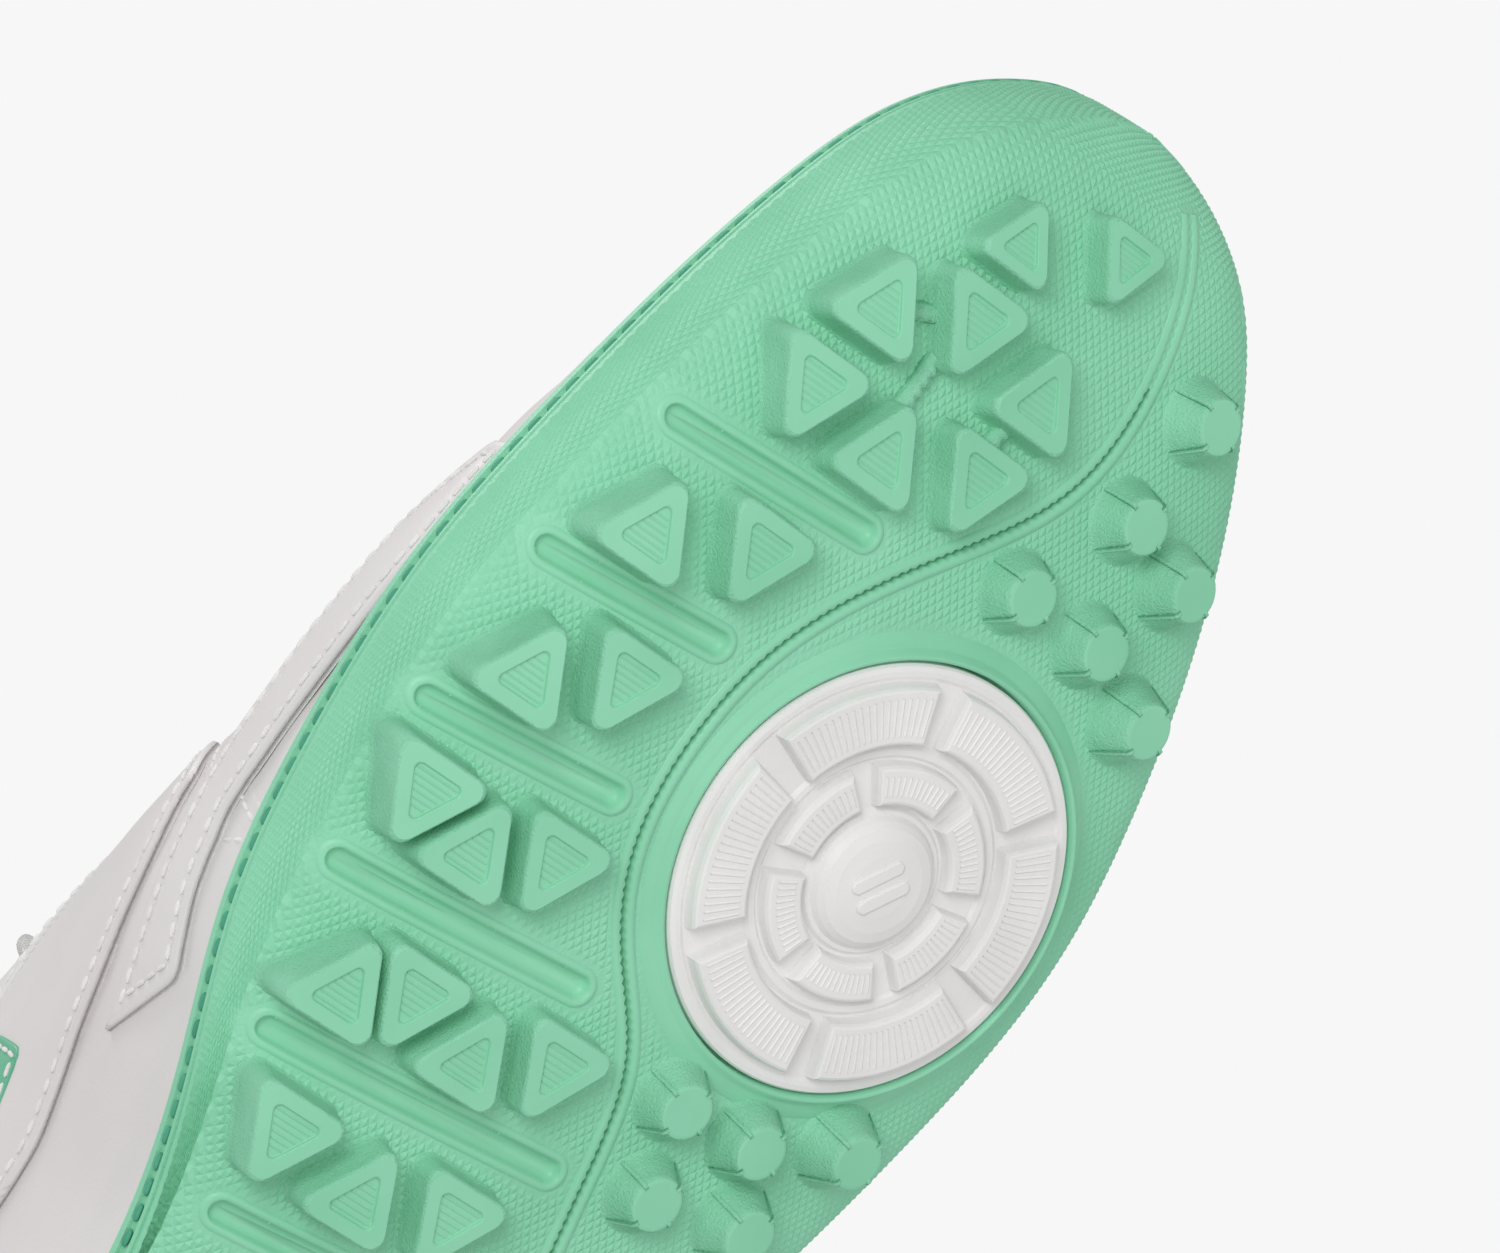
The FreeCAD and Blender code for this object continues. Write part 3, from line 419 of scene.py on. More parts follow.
# ---------------------------------------------------------------- finishes
def finish_node(name, dark, light, rough, spread, grain, grain_size, depth, kind="noise", sheen=0.0,
                fine=0.35):
    """Procedural finish: a slow change of colour over a fine grain; sizes in millimetres."""
    material = bpy.data.materials.new(name)
    material.use_nodes = True
    nodes, links = material.node_tree.nodes, material.node_tree.links
    shader = nodes["Principled BSDF"]
    place = nodes.new("ShaderNodeTexCoord")
    slow = nodes.new("ShaderNodeTexNoise")
    slow.inputs["Scale"].default_value = 1000.0 / spread
    slow.inputs["Detail"].default_value = 5.0
    links.new(place.outputs["Object"], slow.inputs["Vector"])
    ramp = nodes.new("ShaderNodeValToRGB")
    for stop, place_of, colour in zip(ramp.color_ramp.elements, (0.32, 0.68), (dark, light)):
        stop.position = place_of
        stop.color = (*colour, 1.0)
    if kind == "voronoi":
        small = nodes.new("ShaderNodeTexVoronoi")
        small.feature = "DISTANCE_TO_EDGE"
        height = small.outputs["Distance"]
    elif kind == "weave":
        small = nodes.new("ShaderNodeTexWave")
        small.bands_direction = "DIAGONAL"
        small.inputs["Distortion"].default_value = 1.5
        height = small.outputs["Fac"]
    else:
        small = nodes.new("ShaderNodeTexNoise")
        small.inputs["Detail"].default_value = 3.0
        height = small.outputs["Fac"]
    small.inputs["Scale"].default_value = 1000.0 / grain_size
    links.new(place.outputs["Object"], small.inputs["Vector"])
    mix = nodes.new("ShaderNodeMath")
    mix.operation = "MULTIPLY_ADD"
    mix.inputs[1].default_value = grain
    links.new(height, mix.inputs[0])
    links.new(slow.outputs["Fac"], mix.inputs[2])
    links.new(mix.outputs[0], ramp.inputs["Fac"])
    links.new(ramp.outputs["Color"], shader.inputs["Base Color"])
    bump = nodes.new("ShaderNodeBump")
    bump.inputs["Strength"].default_value = fine
    bump.inputs["Distance"].default_value = depth * 0.001
    links.new(height, bump.inputs["Height"])
    links.new(bump.outputs["Normal"], shader.inputs["Normal"])
    shader.inputs["Roughness"].default_value = rough
    shader.inputs["Specular IOR Level"].default_value = 0.35
    if sheen:
        shader.inputs["Sheen Weight"].default_value = sheen
    return material


GREEN = finish_node("outsole_rubber", (0.225, 0.60, 0.385), (0.28, 0.68, 0.46), 0.5, 26.0, 0.05, 0.45, 0.25,
                    fine=0.5)
GREEN_SMOOTH = finish_node("outsole_rubber_smooth", (0.235, 0.62, 0.40), (0.28, 0.68, 0.455), 0.38, 22.0,
                           0.04, 0.9, 0.1, fine=0.2)
GREEN_SAND = finish_node("outsole_rubber_sand", (0.215, 0.59, 0.375), (0.28, 0.68, 0.46), 0.62, 9.0, 0.12,
                         0.3, 0.3, fine=0.8)
INSERT = finish_node("insert_rubber", (0.77, 0.76, 0.75), (0.83, 0.82, 0.81), 0.45, 14.0, 0.05, 0.5, 0.12)
LEATHER = finish_node("leather_white", (0.69, 0.66, 0.655), (0.75, 0.725, 0.72), 0.42, 34.0, 0.04, 0.9,
                      0.12, kind="voronoi", fine=0.28)
LEATHER_FACING = finish_node("leather_facing", (0.76, 0.74, 0.735), (0.82, 0.80, 0.795), 0.36, 28.0, 0.03,
                             0.7, 0.1, kind="voronoi", fine=0.22)
PATCH = finish_node("patch_green", (0.13, 0.47, 0.29), (0.17, 0.55, 0.35), 0.38, 18.0, 0.04, 0.7, 0.1,
                    kind="voronoi", fine=0.25)
TEXTILE = finish_node("lining_textile", (0.52, 0.53, 0.53), (0.66, 0.66, 0.655), 0.85, 20.0, 0.25, 1.1, 0.4,
                      kind="weave", sheen=0.3, fine=0.6)
SOCK = finish_node("sock_fabric", (0.06, 0.27, 0.17), (0.10, 0.36, 0.235), 0.9, 16.0, 0.3, 0.9, 0.35,
                   kind="weave", sheen=0.4, fine=0.6)
WEBBING = finish_node("webbing", (0.64, 0.64, 0.63), (0.78, 0.78, 0.77), 0.8, 9.0, 0.3, 1.0, 0.4,
                      kind="weave", sheen=0.2, fine=0.7)
LACE = finish_node("lace_cord", (0.70, 0.70, 0.69), (0.84, 0.84, 0.83), 0.8, 8.0, 0.35, 0.8, 0.4,
                   kind="weave", sheen=0.2, fine=0.8)
THREAD = finish_node("thread_white", (0.70, 0.69, 0.68), (0.84, 0.83, 0.82), 0.7, 5.0, 0.2, 0.3, 0.1)
THREAD_GREEN = finish_node("thread_green", (0.05, 0.30, 0.18), (0.08, 0.38, 0.24), 0.7, 5.0, 0.2, 0.3, 0.1)
AGLET = finish_node("aglet_film", (0.62, 0.63, 0.63), (0.72, 0.73, 0.73), 0.2, 6.0, 0.1, 1.0, 0.05)
FOAM = finish_node("midsole_foam", (0.70, 0.70, 0.68), (0.78, 0.78, 0.76), 0.8, 20.0, 0.2, 0.8, 0.3,
                   kind="voronoi")
BOARD = finish_node("board", (0.50, 0.45, 0.36), (0.60, 0.55, 0.45), 0.9, 10.0, 0.3, 0.8, 0.2)
DARK = finish_node("hole_shade", (0.03, 0.03, 0.03), (0.06, 0.06, 0.06), 0.9, 5.0, 0.2, 0.5, 0.1)

# ---------------------------------------------------------------- outsole: layout
DISC = np.array([58.0, 15.4])
DISC_RADIUS = 26.1
LUG_SIDE, LUG_CORNER, LUG_FLARE = 14.2, 1.5, 1.8
STUD_TIP, STUD_FLARE = 3.5, 1.45
# each lug: x, y, whether it points to the toe, scale
FOREFOOT_LUGS = [
    (1.2, -7.9, 0, 1.0), (-2.9, -19.6, 1, 1.0), (-0.3, -32.8, 0, 1.0), (21.5, -8.1, 0, 1.0),
    (16.4, -18.5, 1, 1.0), (19.8, -29.4, 0, 1.0), (15.4, -37.6, 1, 1.0), (40.5, -24.3, 0, 1.0),
    (35.9, -34.2, 1, 1.0), (39.2, -43.6, 0, 1.0), (61.5, -30.4, 0, 1.0), (55.3, -41.5, 1, 1.0),
    (81.2, -24.9, 0, 1.0), (75.6, -38.8, 1, 1.0), (96.7, -17.4, 1, 1.0), (99.3, -30.0, 0, 1.0),
    (101.3, -4.1, 0, 1.0), (111.9, -1.6, 1, 1.0), (115.5, -14.4, 0, 1.0), (110.2, -27.0, 1, 1.0),
    (125.0, -13.6, 1, 0.82), (131.0, 0.8, 0, 0.82)]
STUDS = [(89.4, 35.2), (105.0, 31.2), (93.8, 23.7), (107.9, 19.9), (122.0, 23.4), (94.0, 10.5),
         (30.6, 35.0), (25.6, 22.4), (14.4, 14.3), (25.0, 10.2), (16.9, 28.2)]
BRIDGES = [((101.3, -4.1), (111.9, -1.6)), ((96.7, -17.4), (115.5, -14.4)),
           ((110.2, -27.0), (115.5, -14.4))]
# the flex channels' two ends
BARS = np.array([
    ((89.6, -11.6), (88.0, -39.6)), ((70.2, -20.6), (68.2, -44.6)), ((49.8, -20.6), (47.3, -46.1)),
    ((29.9, -9.6), (27.1, -43.6)), ((10.8, 1.9), (7.5, -38.6)), ((-10.0, -2.6), (-12.5, -29.6)),
    ((-66.0, 17.4), (-66.0, -20.6)), ((-86.0, 19.4), (-86.0, -22.6)), ((-106.0, 19.4), (-106.0, -22.6))])
GROOVE = smooth_line([(-30.0, 12.4), (-10.0, 11.9), (10.0, 7.4), (26.3, 1.8), (36.3, -7.6), (46.0, -13.9),
                      (58.8, -16.1), (72.0, -14.0), (83.8, -7.6), (96.3, 3.0), (107.5, 11.2), (120.0, 14.3),
                      (132.0, 13.4), (141.0, 10.6)], 0.62)


def heel_lugs():
    """Three rows of four lugs that point to and fro, and three small ones behind them."""
    lugs = []
    for column, x in enumerate((-76.0, -96.0, -116.0)):
        for row, y in enumerate((18.0, 5.0, -8.0, -21.0)):
            forward = (row + column) % 2 == 0
            lugs.append((x + (-2.0 if forward else 2.0), y, forward, 0.95))
    return lugs + [(-132.0, 10.5, 0, 0.82), (-134.0, -1.5, 1, 0.82), (-132.0, -13.5, 0, 0.82)]


def bar_distance(points):
    """Distance in plan to the nearest flex channel's middle line."""
    best = np.full(len(points), 99.0)
    for start, end in BARS:
        way = end - start
        share = np.clip(((points - start) @ way) / way.dot(way), 0.0, 1.0)
        best = np.minimum(best, np.linalg.norm(points - start - share[:, None] * way, axis=1))
    return best


def groove_distance(points):
    """Distance in plan to the curved groove."""
    best = np.full(len(points), 99.0)
    for place in GROOVE[::2]:
        best = np.minimum(best, np.hypot(points[:, 0] - place[0], points[:, 1] - place[1]))
    return best


# ---------------------------------------------------------------- outsole: textured skin
ROW_STEP, COLUMN_STEP = 0.85, 0.625
DIAMOND = 0.26  # height of the texture
WALL_STEPS = 20
WALL_KEY, TRIM_KEY = 1000.0, 2000.0  # column keys of the wall and of its trim start here
# distance under the wall's top edge, and how far in the surface lies there
WALL_TRIM = np.array([(4.2, 0.0), (3.75, 0.0), (3.6, 0.35), (3.3, 0.35), (3.15, 0.0), (2.75, 0.0), (2.6, 0.5),
                      (1.5, 0.5), (1.35, 0.0), (0.6, 0.0), (0.25, 0.08), (0.0, 0.35)])


def skin_rows():
    """Places t of the skin's rows: even steps in x, then even steps round the two ends."""
    places = [t_of_x(x) for x in np.arange(-140.0, 139.6, ROW_STEP)]
    heel = np.arange(places[0] - 0.8, 0.0, -0.8)[::-1]
    toe = np.arange(places[-1] + 0.8, T_END, 0.8)
    return np.concatenate([[0.0], heel, places, toe, [T_END]])


def skin_row(t):
    """One row from the lateral top edge under the sole to the medial one: keys, points, depths."""
    count = 360
    angles = np.linspace(-math.pi / 2.0, 1.0, count)
    top = float(cup_top(shape_at(t)[0]))
    result = []
    for side in (-1, 1):
        points = form(np.full(count, t), angles if side > 0 else -math.pi - angles)
        over = points[:, 2] > top
        last = int(np.argmax(over)) if over.any() else count - 1
        points = points[:last + 1]
        if points[-1, 2] > top:
            share = (top - points[-2, 2]) / max(points[-1, 2] - points[-2, 2], 1e-6)
            points[-1] = points[-2] + (points[-1] - points[-2]) * share
        run = run_along(points)
        total = run[-1]
        rise = np.diff(points[:, 2]) > 0.8 * np.abs(np.diff(points[:, 1]))
        bend = int(np.argmax(rise)) if rise.any() else len(rise) - 1
        middle, edge = points[0, 1] / COLUMN_STEP, points[bend, 1] / COLUMN_STEP
        if side > 0:
            columns = np.arange(math.ceil(middle), math.floor(edge) + 1)
        else:
            columns = np.arange(math.floor(middle), math.ceil(edge) - 1, -1)
            columns = columns[columns * COLUMN_STEP < points[0, 1] - 1e-6]
        ys = columns * COLUMN_STEP
        places = np.interp(side * ys, side * points[:bend + 1, 1], run[:bend + 1]) if bend else ys * 0
        start = max(places[-1] if len(places) else 0.0, run[bend])
        trim = total - WALL_TRIM[:, 0]
        wall_end = max(trim[0], start + 0.5)
        wall = start + (wall_end - start) * np.arange(1, WALL_STEPS + 1) / (WALL_STEPS + 1.0)
        upper = np.maximum(trim, wall_end + 0.01 * np.arange(len(trim)))
        upper = np.minimum(upper, total)
        keys = np.concatenate([columns * 1.0, side * (WALL_KEY + np.arange(WALL_STEPS)),
                               side * (TRIM_KEY + np.arange(len(trim)))])
        spots = np.concatenate([places, wall, upper])
        xyz = np.stack([np.interp(spots, run, points[:, k]) for k in range(3)], -1)
        sink = np.concatenate([np.zeros(len(places) + WALL_STEPS), WALL_TRIM[:, 1]])
        result.append((keys, xyz, sink))
    return [np.concatenate([lateral[::-1], medial]) for lateral, medial in zip(*result)]


def zip_rows(low, high, start_low, start_high, odd):
    """Triangles between two neighbouring rows, split so that raised points become small pyramids."""
    faces = []
    i = j = 0
    while i < len(low) - 1 or j < len(high) - 1:
        step_i = low[i + 1] if i < len(low) - 1 else 1e9
        step_j = high[j + 1] if j < len(high) - 1 else 1e9
        a, b = start_low + i, start_high + j
        if step_i == step_j and low[i] == high[j]:
            raised = (int(round(low[i])) + odd) % 2 == 1
            if raised:
                faces += [(a, a + 1, b), (a + 1, b + 1, b)]
            else:
                faces += [(a, a + 1, b + 1), (a, b + 1, b)]
            i += 1
            j += 1
        elif step_i <= step_j:
            faces.append((a, a + 1, b))
            i += 1
        else:
            faces.append((a, b + 1, b))
            j += 1
    return faces


def make_skin():
    """Textured skin of the cup; returns its rows' places and its two top edges."""
    places = skin_rows()
    rows = [skin_row(t) for t in places]
    sizes = [len(row[0]) for row in rows]
    starts = np.concatenate([[0], np.cumsum(sizes)])
    faces = []
    for index in range(len(places) - 1):
        faces += zip_rows(rows[index][0], rows[index + 1][0], starts[index], starts[index + 1], index)
    keys, points, sinks = (np.concatenate(part) for part in zip(*rows))
    odds = np.repeat(np.arange(len(places)), sizes)
    faces = np.array(faces)
    # outward normals of the plain surface
    a, b, c = points[faces[:, 0]], points[faces[:, 1]], points[faces[:, 2]]
    face_normal = np.cross(b - a, c - a)
    normal = np.zeros_like(points)
    for k in range(3):
        np.add.at(normal, faces[:, k], face_normal)
    normal = unit(normal)
    if normal[np.argmin(points[:, 2]), 2] > 0:
        normal = -normal
        faces = faces[:, ::-1]
    # the diamonds fade beside the channels, the groove, the insert and in the waist
    plan = points[:, :2]
    texture = ease(bar_distance(plan), 2.6, 4.2) * ease(groove_distance(plan), 1.3, 2.4)
    texture *= ease(np.linalg.norm(plan - DISC, axis=1), DISC_RADIUS + 3.2, DISC_RADIUS + 6.0)
    texture *= 1.0 - 0.75 * np.exp(-((plan[:, 0] + 42.0) / 15.0) ** 4)
    level = np.where(np.abs(keys) >= TRIM_KEY, 0.0, np.where(np.abs(keys) >= WALL_KEY, 0.85, 1.0))
    raised = (np.abs(np.round(keys)).astype(int) + odds) % 2 == 1
    points = points + normal * (DIAMOND * texture * raised * level - sinks)[:, None]
    # the faces under the channels, the groove and the insert are left to their own surfaces
    middle = points[faces].mean(1)
    plan = middle[:, :2]
    gone = (bar_distance(plan) < 1.75) | (groove_distance(plan) < 0.85)
    gone |= np.linalg.norm(plan - DISC, axis=1) < DISC_RADIUS + 0.7
    heap.add(points, faces[~(gone & (middle[:, 2] < 12.0))])
    return places, (points[starts[:-1]], points[starts[1:] - 1])


def make_lip(places, edges):
    """Rounded top edge of the cup and its inner face, down behind the upper."""
    for side, edge in zip((-1, 1), edges):
        rings = [edge]
        for inset, rise in ((0.9, 0.25), (1.7, 0.2), (2.5, -0.25), (3.0, -1.2), (3.1, -3.0)):
            rings.append([rim_point(t, spot[2] + rise, side, inset) for t, spot in zip(places, edge)])
        faces = ring_faces(len(rings), len(places), closed=False)
        if side > 0:
            faces = [face[::-1] for face in faces]
        heap.add(np.concatenate(rings), faces)


def make_bar_liners():
    """Smooth sunk channels: rounded ends, hollow floor."""
    profile = [(2.5, 0.05), (2.3, -0.22), (1.7, -0.26), (1.45, -0.05), (1.25, 0.55), (0.95, 0.95),
               (0.5, 1.18)]
    for start, end in BARS:
        length = np.linalg.norm(end - start)
        way = (end - start) / length
        side = np.array([-way[1], way[0]])
        shares = np.linspace(0, 1, max(12, int(length / 1.6)))
        levels = []
        for reach, inward in profile:
            loop = []
            for sign, tip in ((1, end), (-1, start)):
                loop += [start + way * length * share + side * reach * sign for share in shares[::sign]]
                loop += [tip + (side * math.cos(turn) + way * math.sin(turn)) * reach * sign
                         for turn in np.linspace(0, math.pi, 14)[1:-1]]
            loop = np.array(loop)
            levels.append((loop, bottom_z(*loop.T) + inward))
        smooth_heap.add(stack(levels), ring_faces(len(levels), len(loop), caps=(False, True)))


def make_groove_liner():
    """Thin deep groove with a finely notched edge."""
    index = np.arange(len(GROOVE))
    notch = 0.28 * (index % 2)
    fade = ease(index * 1.0, 0.0, 12.0) * ease(index[-1] - index * 1.0, 0.0, 12.0)
    side = left_of(unit(np.gradient(GROOVE, axis=0)))
    half = [(1.55, 0.05), (1.4, -0.2), (0.62, -0.24), (0.42, 0.0), (0.32, 1.3), (0.0, 1.5)]
    levels = []
    for aside, inward in half + [(-aside, inward) for aside, inward in half[-2::-1]]:
        shift = aside - math.copysign(1.0, aside) * notch * (0.3 < abs(aside) < 1.0)
        plan = GROOVE + side * shift[:, None]
        levels.append((plan, bottom_z(*plan.T) + (inward * fade if inward > 0.06 else inward)))
    smooth_heap.add(stack(levels), ring_faces(len(levels), len(GROOVE), closed=False))


def make_seat():
    """Slim rim and dark wall round the insert."""
    ring = circle(180)
    levels = []
    for radius, inward in ((29.6, 0.05), (29.3, -0.2), (27.9, -0.25), (27.5, -0.3)):
        plan = DISC + ring * radius
        levels.append((plan, bottom_z(*plan.T) + inward))
    for radius, height in ((27.1, 3.45), (26.75, 3.4), (26.5, 3.6)):
        plan = DISC + ring * radius
        levels.append((plan, np.minimum(bottom_z(*plan.T) - 0.3, height)))
    levels += [(DISC + ring * radius, height) for radius, height in ((26.4, 6.0), (22.0, 6.05))]
    smooth_heap.add(stack(levels), ring_faces(len(levels), len(ring), caps=(False, False)))


# ---------------------------------------------------------------- outsole: lugs and studs
def rounded_triangle(side, radius):
    """Outline of a triangle with rounded corners, pointing along +X; same count at any size."""
    reach = max(side, 0.6) / math.sqrt(3.0)
    radius = min(radius, reach * 0.45)
    arcs = []
    for turn in (0.0, 2.0 * math.pi / 3.0, 4.0 * math.pi / 3.0):
        corner = np.array([math.cos(turn), math.sin(turn)]) * (reach - 2.0 * radius)
        arcs.append([corner + radius * np.array([math.cos(turn + a), math.sin(turn + a)])
                     for a in np.linspace(-math.pi / 3.0, math.pi / 3.0, 6)])
    points = []
    for arc, following in zip(arcs, arcs[1:] + arcs[:1]):
        points += arc + [arc[-1] + (following[0] - arc[-1]) * share for share in (0.2, 0.4, 0.6, 0.8)]
    return np.array(points)


def to_sole(points, x, y, turn):
    """From a lug modelled tip down at z = 0 to its place under the sole."""
    slope = math.atan(float(sole_z(x + 1.0) - sole_z(x - 1.0)) / 2.0)
    points = spin(spin(points, turn) - [0.0, 0.0, LUG], slope, 0, 2) + [0.0, 0.0, LUG]
    # lean with the sole's curve across, about the tip's lower edge
    lean = 0.6 * math.atan(max(-0.5, min(0.5, float(bottom_z(x, y + 1.0) - bottom_z(x, y - 1.0)) / 2.0)))
    return spin(points, lean, 1, 2) + [x, y, float(sole_z(x)) - LUG + 5.0 * abs(math.sin(lean))]


def foot_height(outline_at, x, y, turn):
    """Height above the tip where a flaring wall meets the sole, at each point of its outline."""
    height = np.full(len(outline_at(LUG)), LUG)
    for _ in range(4):
        shape = np.array([outline_at(h)[i] for i, h in enumerate(height)])
        placed = to_sole(np.column_stack([shape, height]), x, y, turn)
        height = height + bottom_z(placed[:, 0], placed[:, 1]) - placed[:, 2]
    return height


def add_foot(levels, walls, x, y, turn):
    """Put a lug's wall in one heap and its tip in another; they share one ring."""
    size = len(levels[0][0])
    placed = to_sole(stack(levels), x, y, turn)
    lug_heap.add(placed[:walls * size], ring_faces(walls, size, caps=(False, False)))
    tip_heap.add(placed[(walls - 1) * size:], ring_faces(len(levels) - walls + 1, size, caps=(False, True)))


def add_lug(x, y, forward, scale):
    """Triangular lug: flared wall, small fillet at the sole, recessed tip with fine ribs."""
    side = LUG_SIDE * scale
    turn = 0.0 if forward else math.pi
    radius = LUG_CORNER * scale

    def outline_at(height):
        return rounded_triangle(side + LUG_FLARE * height / 7.5, radius + 0.3)

    feet = foot_height(outline_at, x, y, turn)
    wall = np.array([outline_at(h)[i] for i, h in enumerate(feet - 0.9)])
    out = unit(wall)
    levels = [(wall + out * 0.8, feet + 0.6), (wall + out * 0.45, feet - 0.05),
              (wall + out * 0.15, feet - 0.35), (wall, feet - 0.8)]
    for size, height in ((side + 0.1, 0.8), (side - 0.05, 0.36), (side - 0.4, 0.1), (side - 1.0, 0.0)):
        levels.append((rounded_triangle(size, radius), height))
    for share, height in ((0.55, 0.0), (0.53, 0.06), (0.51, 0.36), (0.49, 0.42)):
        levels.append((rounded_triangle(side * share, radius * 0.5), height))
    add_foot(levels, 8, x, y, turn)
    inner = side * 0.47 / math.sqrt(3.0)
    for share in np.arange(-0.40, 0.80, 0.2):
        across = inner * share
        half = (inner - across) / math.sqrt(3.0) * 0.93
        if half < 0.5:
            continue
        bead = [(across + shift, end, z) for end in (-half, half)
                for shift, z in ((-0.24, 0.45), (0.0, 0.31), (0.24, 0.45))]
        tip_heap.add(to_sole(bead, x, y, turn), [(0, 1, 4, 3), (1, 2, 5, 4), (0, 2, 1), (3, 4, 5)])


def add_stud(x, y):
    """Round stud with four thin fins."""
    ring = circle(32)

    def radius_at(height):
        return STUD_TIP + STUD_FLARE * height / LUG

    def outline_at(height):
        return ring * radius_at(height)

    feet = foot_height(outline_at, x, y, 0.0)
    wall = ring * radius_at(feet - 0.7)[:, None]
    levels = [(wall + ring * 1.1, feet + 0.5), (wall + ring * 0.55, feet - 0.05),
              (wall + ring * 0.15, feet - 0.4), (wall, feet - 0.8)]
    for radius, height in ((3.55, 0.75), (3.45, 0.32), (3.2, 0.07), (2.9, 0.0), (1.6, -0.02), (0.8, -0.03)):
        levels.append((ring * radius, height))
    add_foot(levels, 7, x, y, 0.0)
    base = float(np.mean(feet)) - 0.3
    fin = []
    for radius, height in ((radius_at(base) + 0.24, base), (3.86, 0.7), (3.66, 0.15), (3.35, -0.12),
                           (2.85, -0.12), (2.65, 0.3), (3.0, base)):
        fin += [(radius, -0.26, height), (radius, 0.26, height)]
    faces = [(2 * i, 2 * i + 1, 2 * i + 3, 2 * i + 2) for i in range(6)]
    faces += [tuple(range(0, 14, 2))[::-1], tuple(range(1, 14, 2))]
    for degrees in (20.0, 110.0, 200.0, 290.0):
        lug_heap.add(to_sole(spin(fin, math.radians(degrees)), x, y, 0.0), faces)


def add_bridge(start, end):
    """Low notched ridge between two neighbouring lugs."""
    start, end = np.array(start), np.array(end)
    way = (end - start) / np.linalg.norm(end - start)
    side = np.array([-way[1], way[0]])
    count = int(np.linalg.norm(end - start) / 0.7)
    rings = []
    for index in range(count + 1):
        middle = start + (end - start) * index / count
        tall = 1.5 if index % 2 else 1.1
        for aside, height in ((1.3, 0.4), (0.7, -tall), (-0.7, -tall), (-1.3, 0.4)):
            spot = middle + side * aside
            rings.append((*spot, float(bottom_z(spot[0], spot[1])) + height))
    lug_heap.add(rings, ring_faces(count + 1, 4))


heap = Heap()
smooth_heap = Heap()
lug_heap = Heap()
tip_heap = Heap()
skin_places, skin_edges = make_skin()
make_lip(skin_places, skin_edges)
make_bar_liners()
make_groove_liner()
make_seat()
for place in FOREFOOT_LUGS + heel_lugs():
    add_lug(*place)
for place in STUDS:
    add_stud(*place)
for ends in BRIDGES:
    add_bridge(*ends)
heap.keep("sole_skin", GREEN, "outsole_rubber", replaces=("outsole",), smooth=False)
smooth_heap.keep("sole_channels", GREEN_SMOOTH, "outsole_rubber")
lug_heap.keep("sole_lugs", GREEN_SAND, "outsole_rubber")
tip_heap.keep("sole_lug_tips", GREEN_SMOOTH, "outsole_rubber", smooth=False)


# ---------------------------------------------------------------- round insert
RIB = 0.14  # height of the ribs on the insert's blocks


def arc_block(target, near, far, middle, half, foot, tip, count):
    """Bevelled block of a ring between two radii, with ribs across its tip."""
    start, end = math.radians(middle - half), math.radians(middle + half)
    rings = []
    for z, inset in ((foot, 0.0), (tip + 0.55, 0.0), (tip + 0.15, 0.22), (tip, 0.6)):
        shift = inset * 0.7 - 0.35 * (z - tip) / max(foot - tip, 0.1)
        turns = np.linspace(start + shift / far, end - shift / far, count)
        rings += [((far - shift) * math.cos(a), (far - shift) * math.sin(a), z) for a in turns]
        rings += [((near + shift) * math.cos(a), (near + shift) * math.sin(a), z) for a in turns[::-1]]
    size = 2 * count
    faces = ring_faces(4, size, caps=(False, False))
    base = 3 * size
    for i in range(count - 1):
        faces.append((base + i, base + i + 1, base + size - 2 - i, base + size - 1 - i))
    target.add(np.array(rings) + [*DISC, 0.0], faces)
    for a in np.linspace(start, end, count)[1:-1]:
        bead = []
        for radius in (near + 1.1, far - 1.1):
            for shift, z in ((-0.2, tip + 0.02), (0.0, tip - RIB), (0.2, tip + 0.02)):
                b = a + shift / radius
                bead.append((radius * math.cos(b), radius * math.sin(b), z))
        target.add(np.array(bead) + [*DISC, 0.0], [(0, 1, 4, 3), (1, 2, 5, 4)])


def make_disc():
    """The insert: a turned body, two rings of six blocks and a slotted boss on the dome."""
    disc = Heap()
    ring = circle(144)
    profile = [(25.9, 5.9), (26.05, 5.5), (26.05, 4.0), (25.8, 3.62), (25.2, 3.5), (24.6, 3.55), (24.2, 3.75),
               (16.4, 3.85), (15.9, 3.5), (15.2, 3.5), (14.8, 3.85), (9.0, 3.85), (8.6, 3.4), (8.1, 3.3),
               (7.6, 2.6), (6.9, 2.0), (5.6, 1.65), (3.6, 1.45), (1.4, 1.38)]
    disc.add(stack([(ring * radius + DISC, z) for radius, z in profile]), ring_faces(len(profile), len(ring)))
    for degrees in range(0, 360, 60):
        arc_block(disc, 17.0, 23.7, degrees + 14.0, 25.0, 3.9, 1.75, 22)
        arc_block(disc, 9.7, 14.2, degrees + 44.0, 23.0, 3.9, 2.05, 14)
    for shift in (-1.35, 1.35):
        bar = []
        for z, radius in ((1.7, 1.0), (1.25, 0.85), (1.12, 0.67)):
            for c, s in circle(24):
                bar.append((math.copysign(2.6, c) + radius * c, shift + radius * s, z))
        disc.add(spin(bar, math.radians(35.0)) + [*DISC, 0.0], ring_faces(3, 24, caps=(False, True)))
    disc.keep("insert_disc", INSERT, "insert_rubber", replaces=("pivot_disc",), smooth=False)


make_disc()


# ---------------------------------------------------------------- upper: panels
def closest(points, targets):
    """Distance from each point to the nearest of many targets."""
    best = np.full(len(points), 1e9)
    for start in range(0, len(targets), 400):
        part = targets[start:start + 400]
        gap = ((points[:, None, :] - part[None, :, :]) ** 2).sum(-1).min(1)
        best = np.minimum(best, gap)
    return np.sqrt(best)


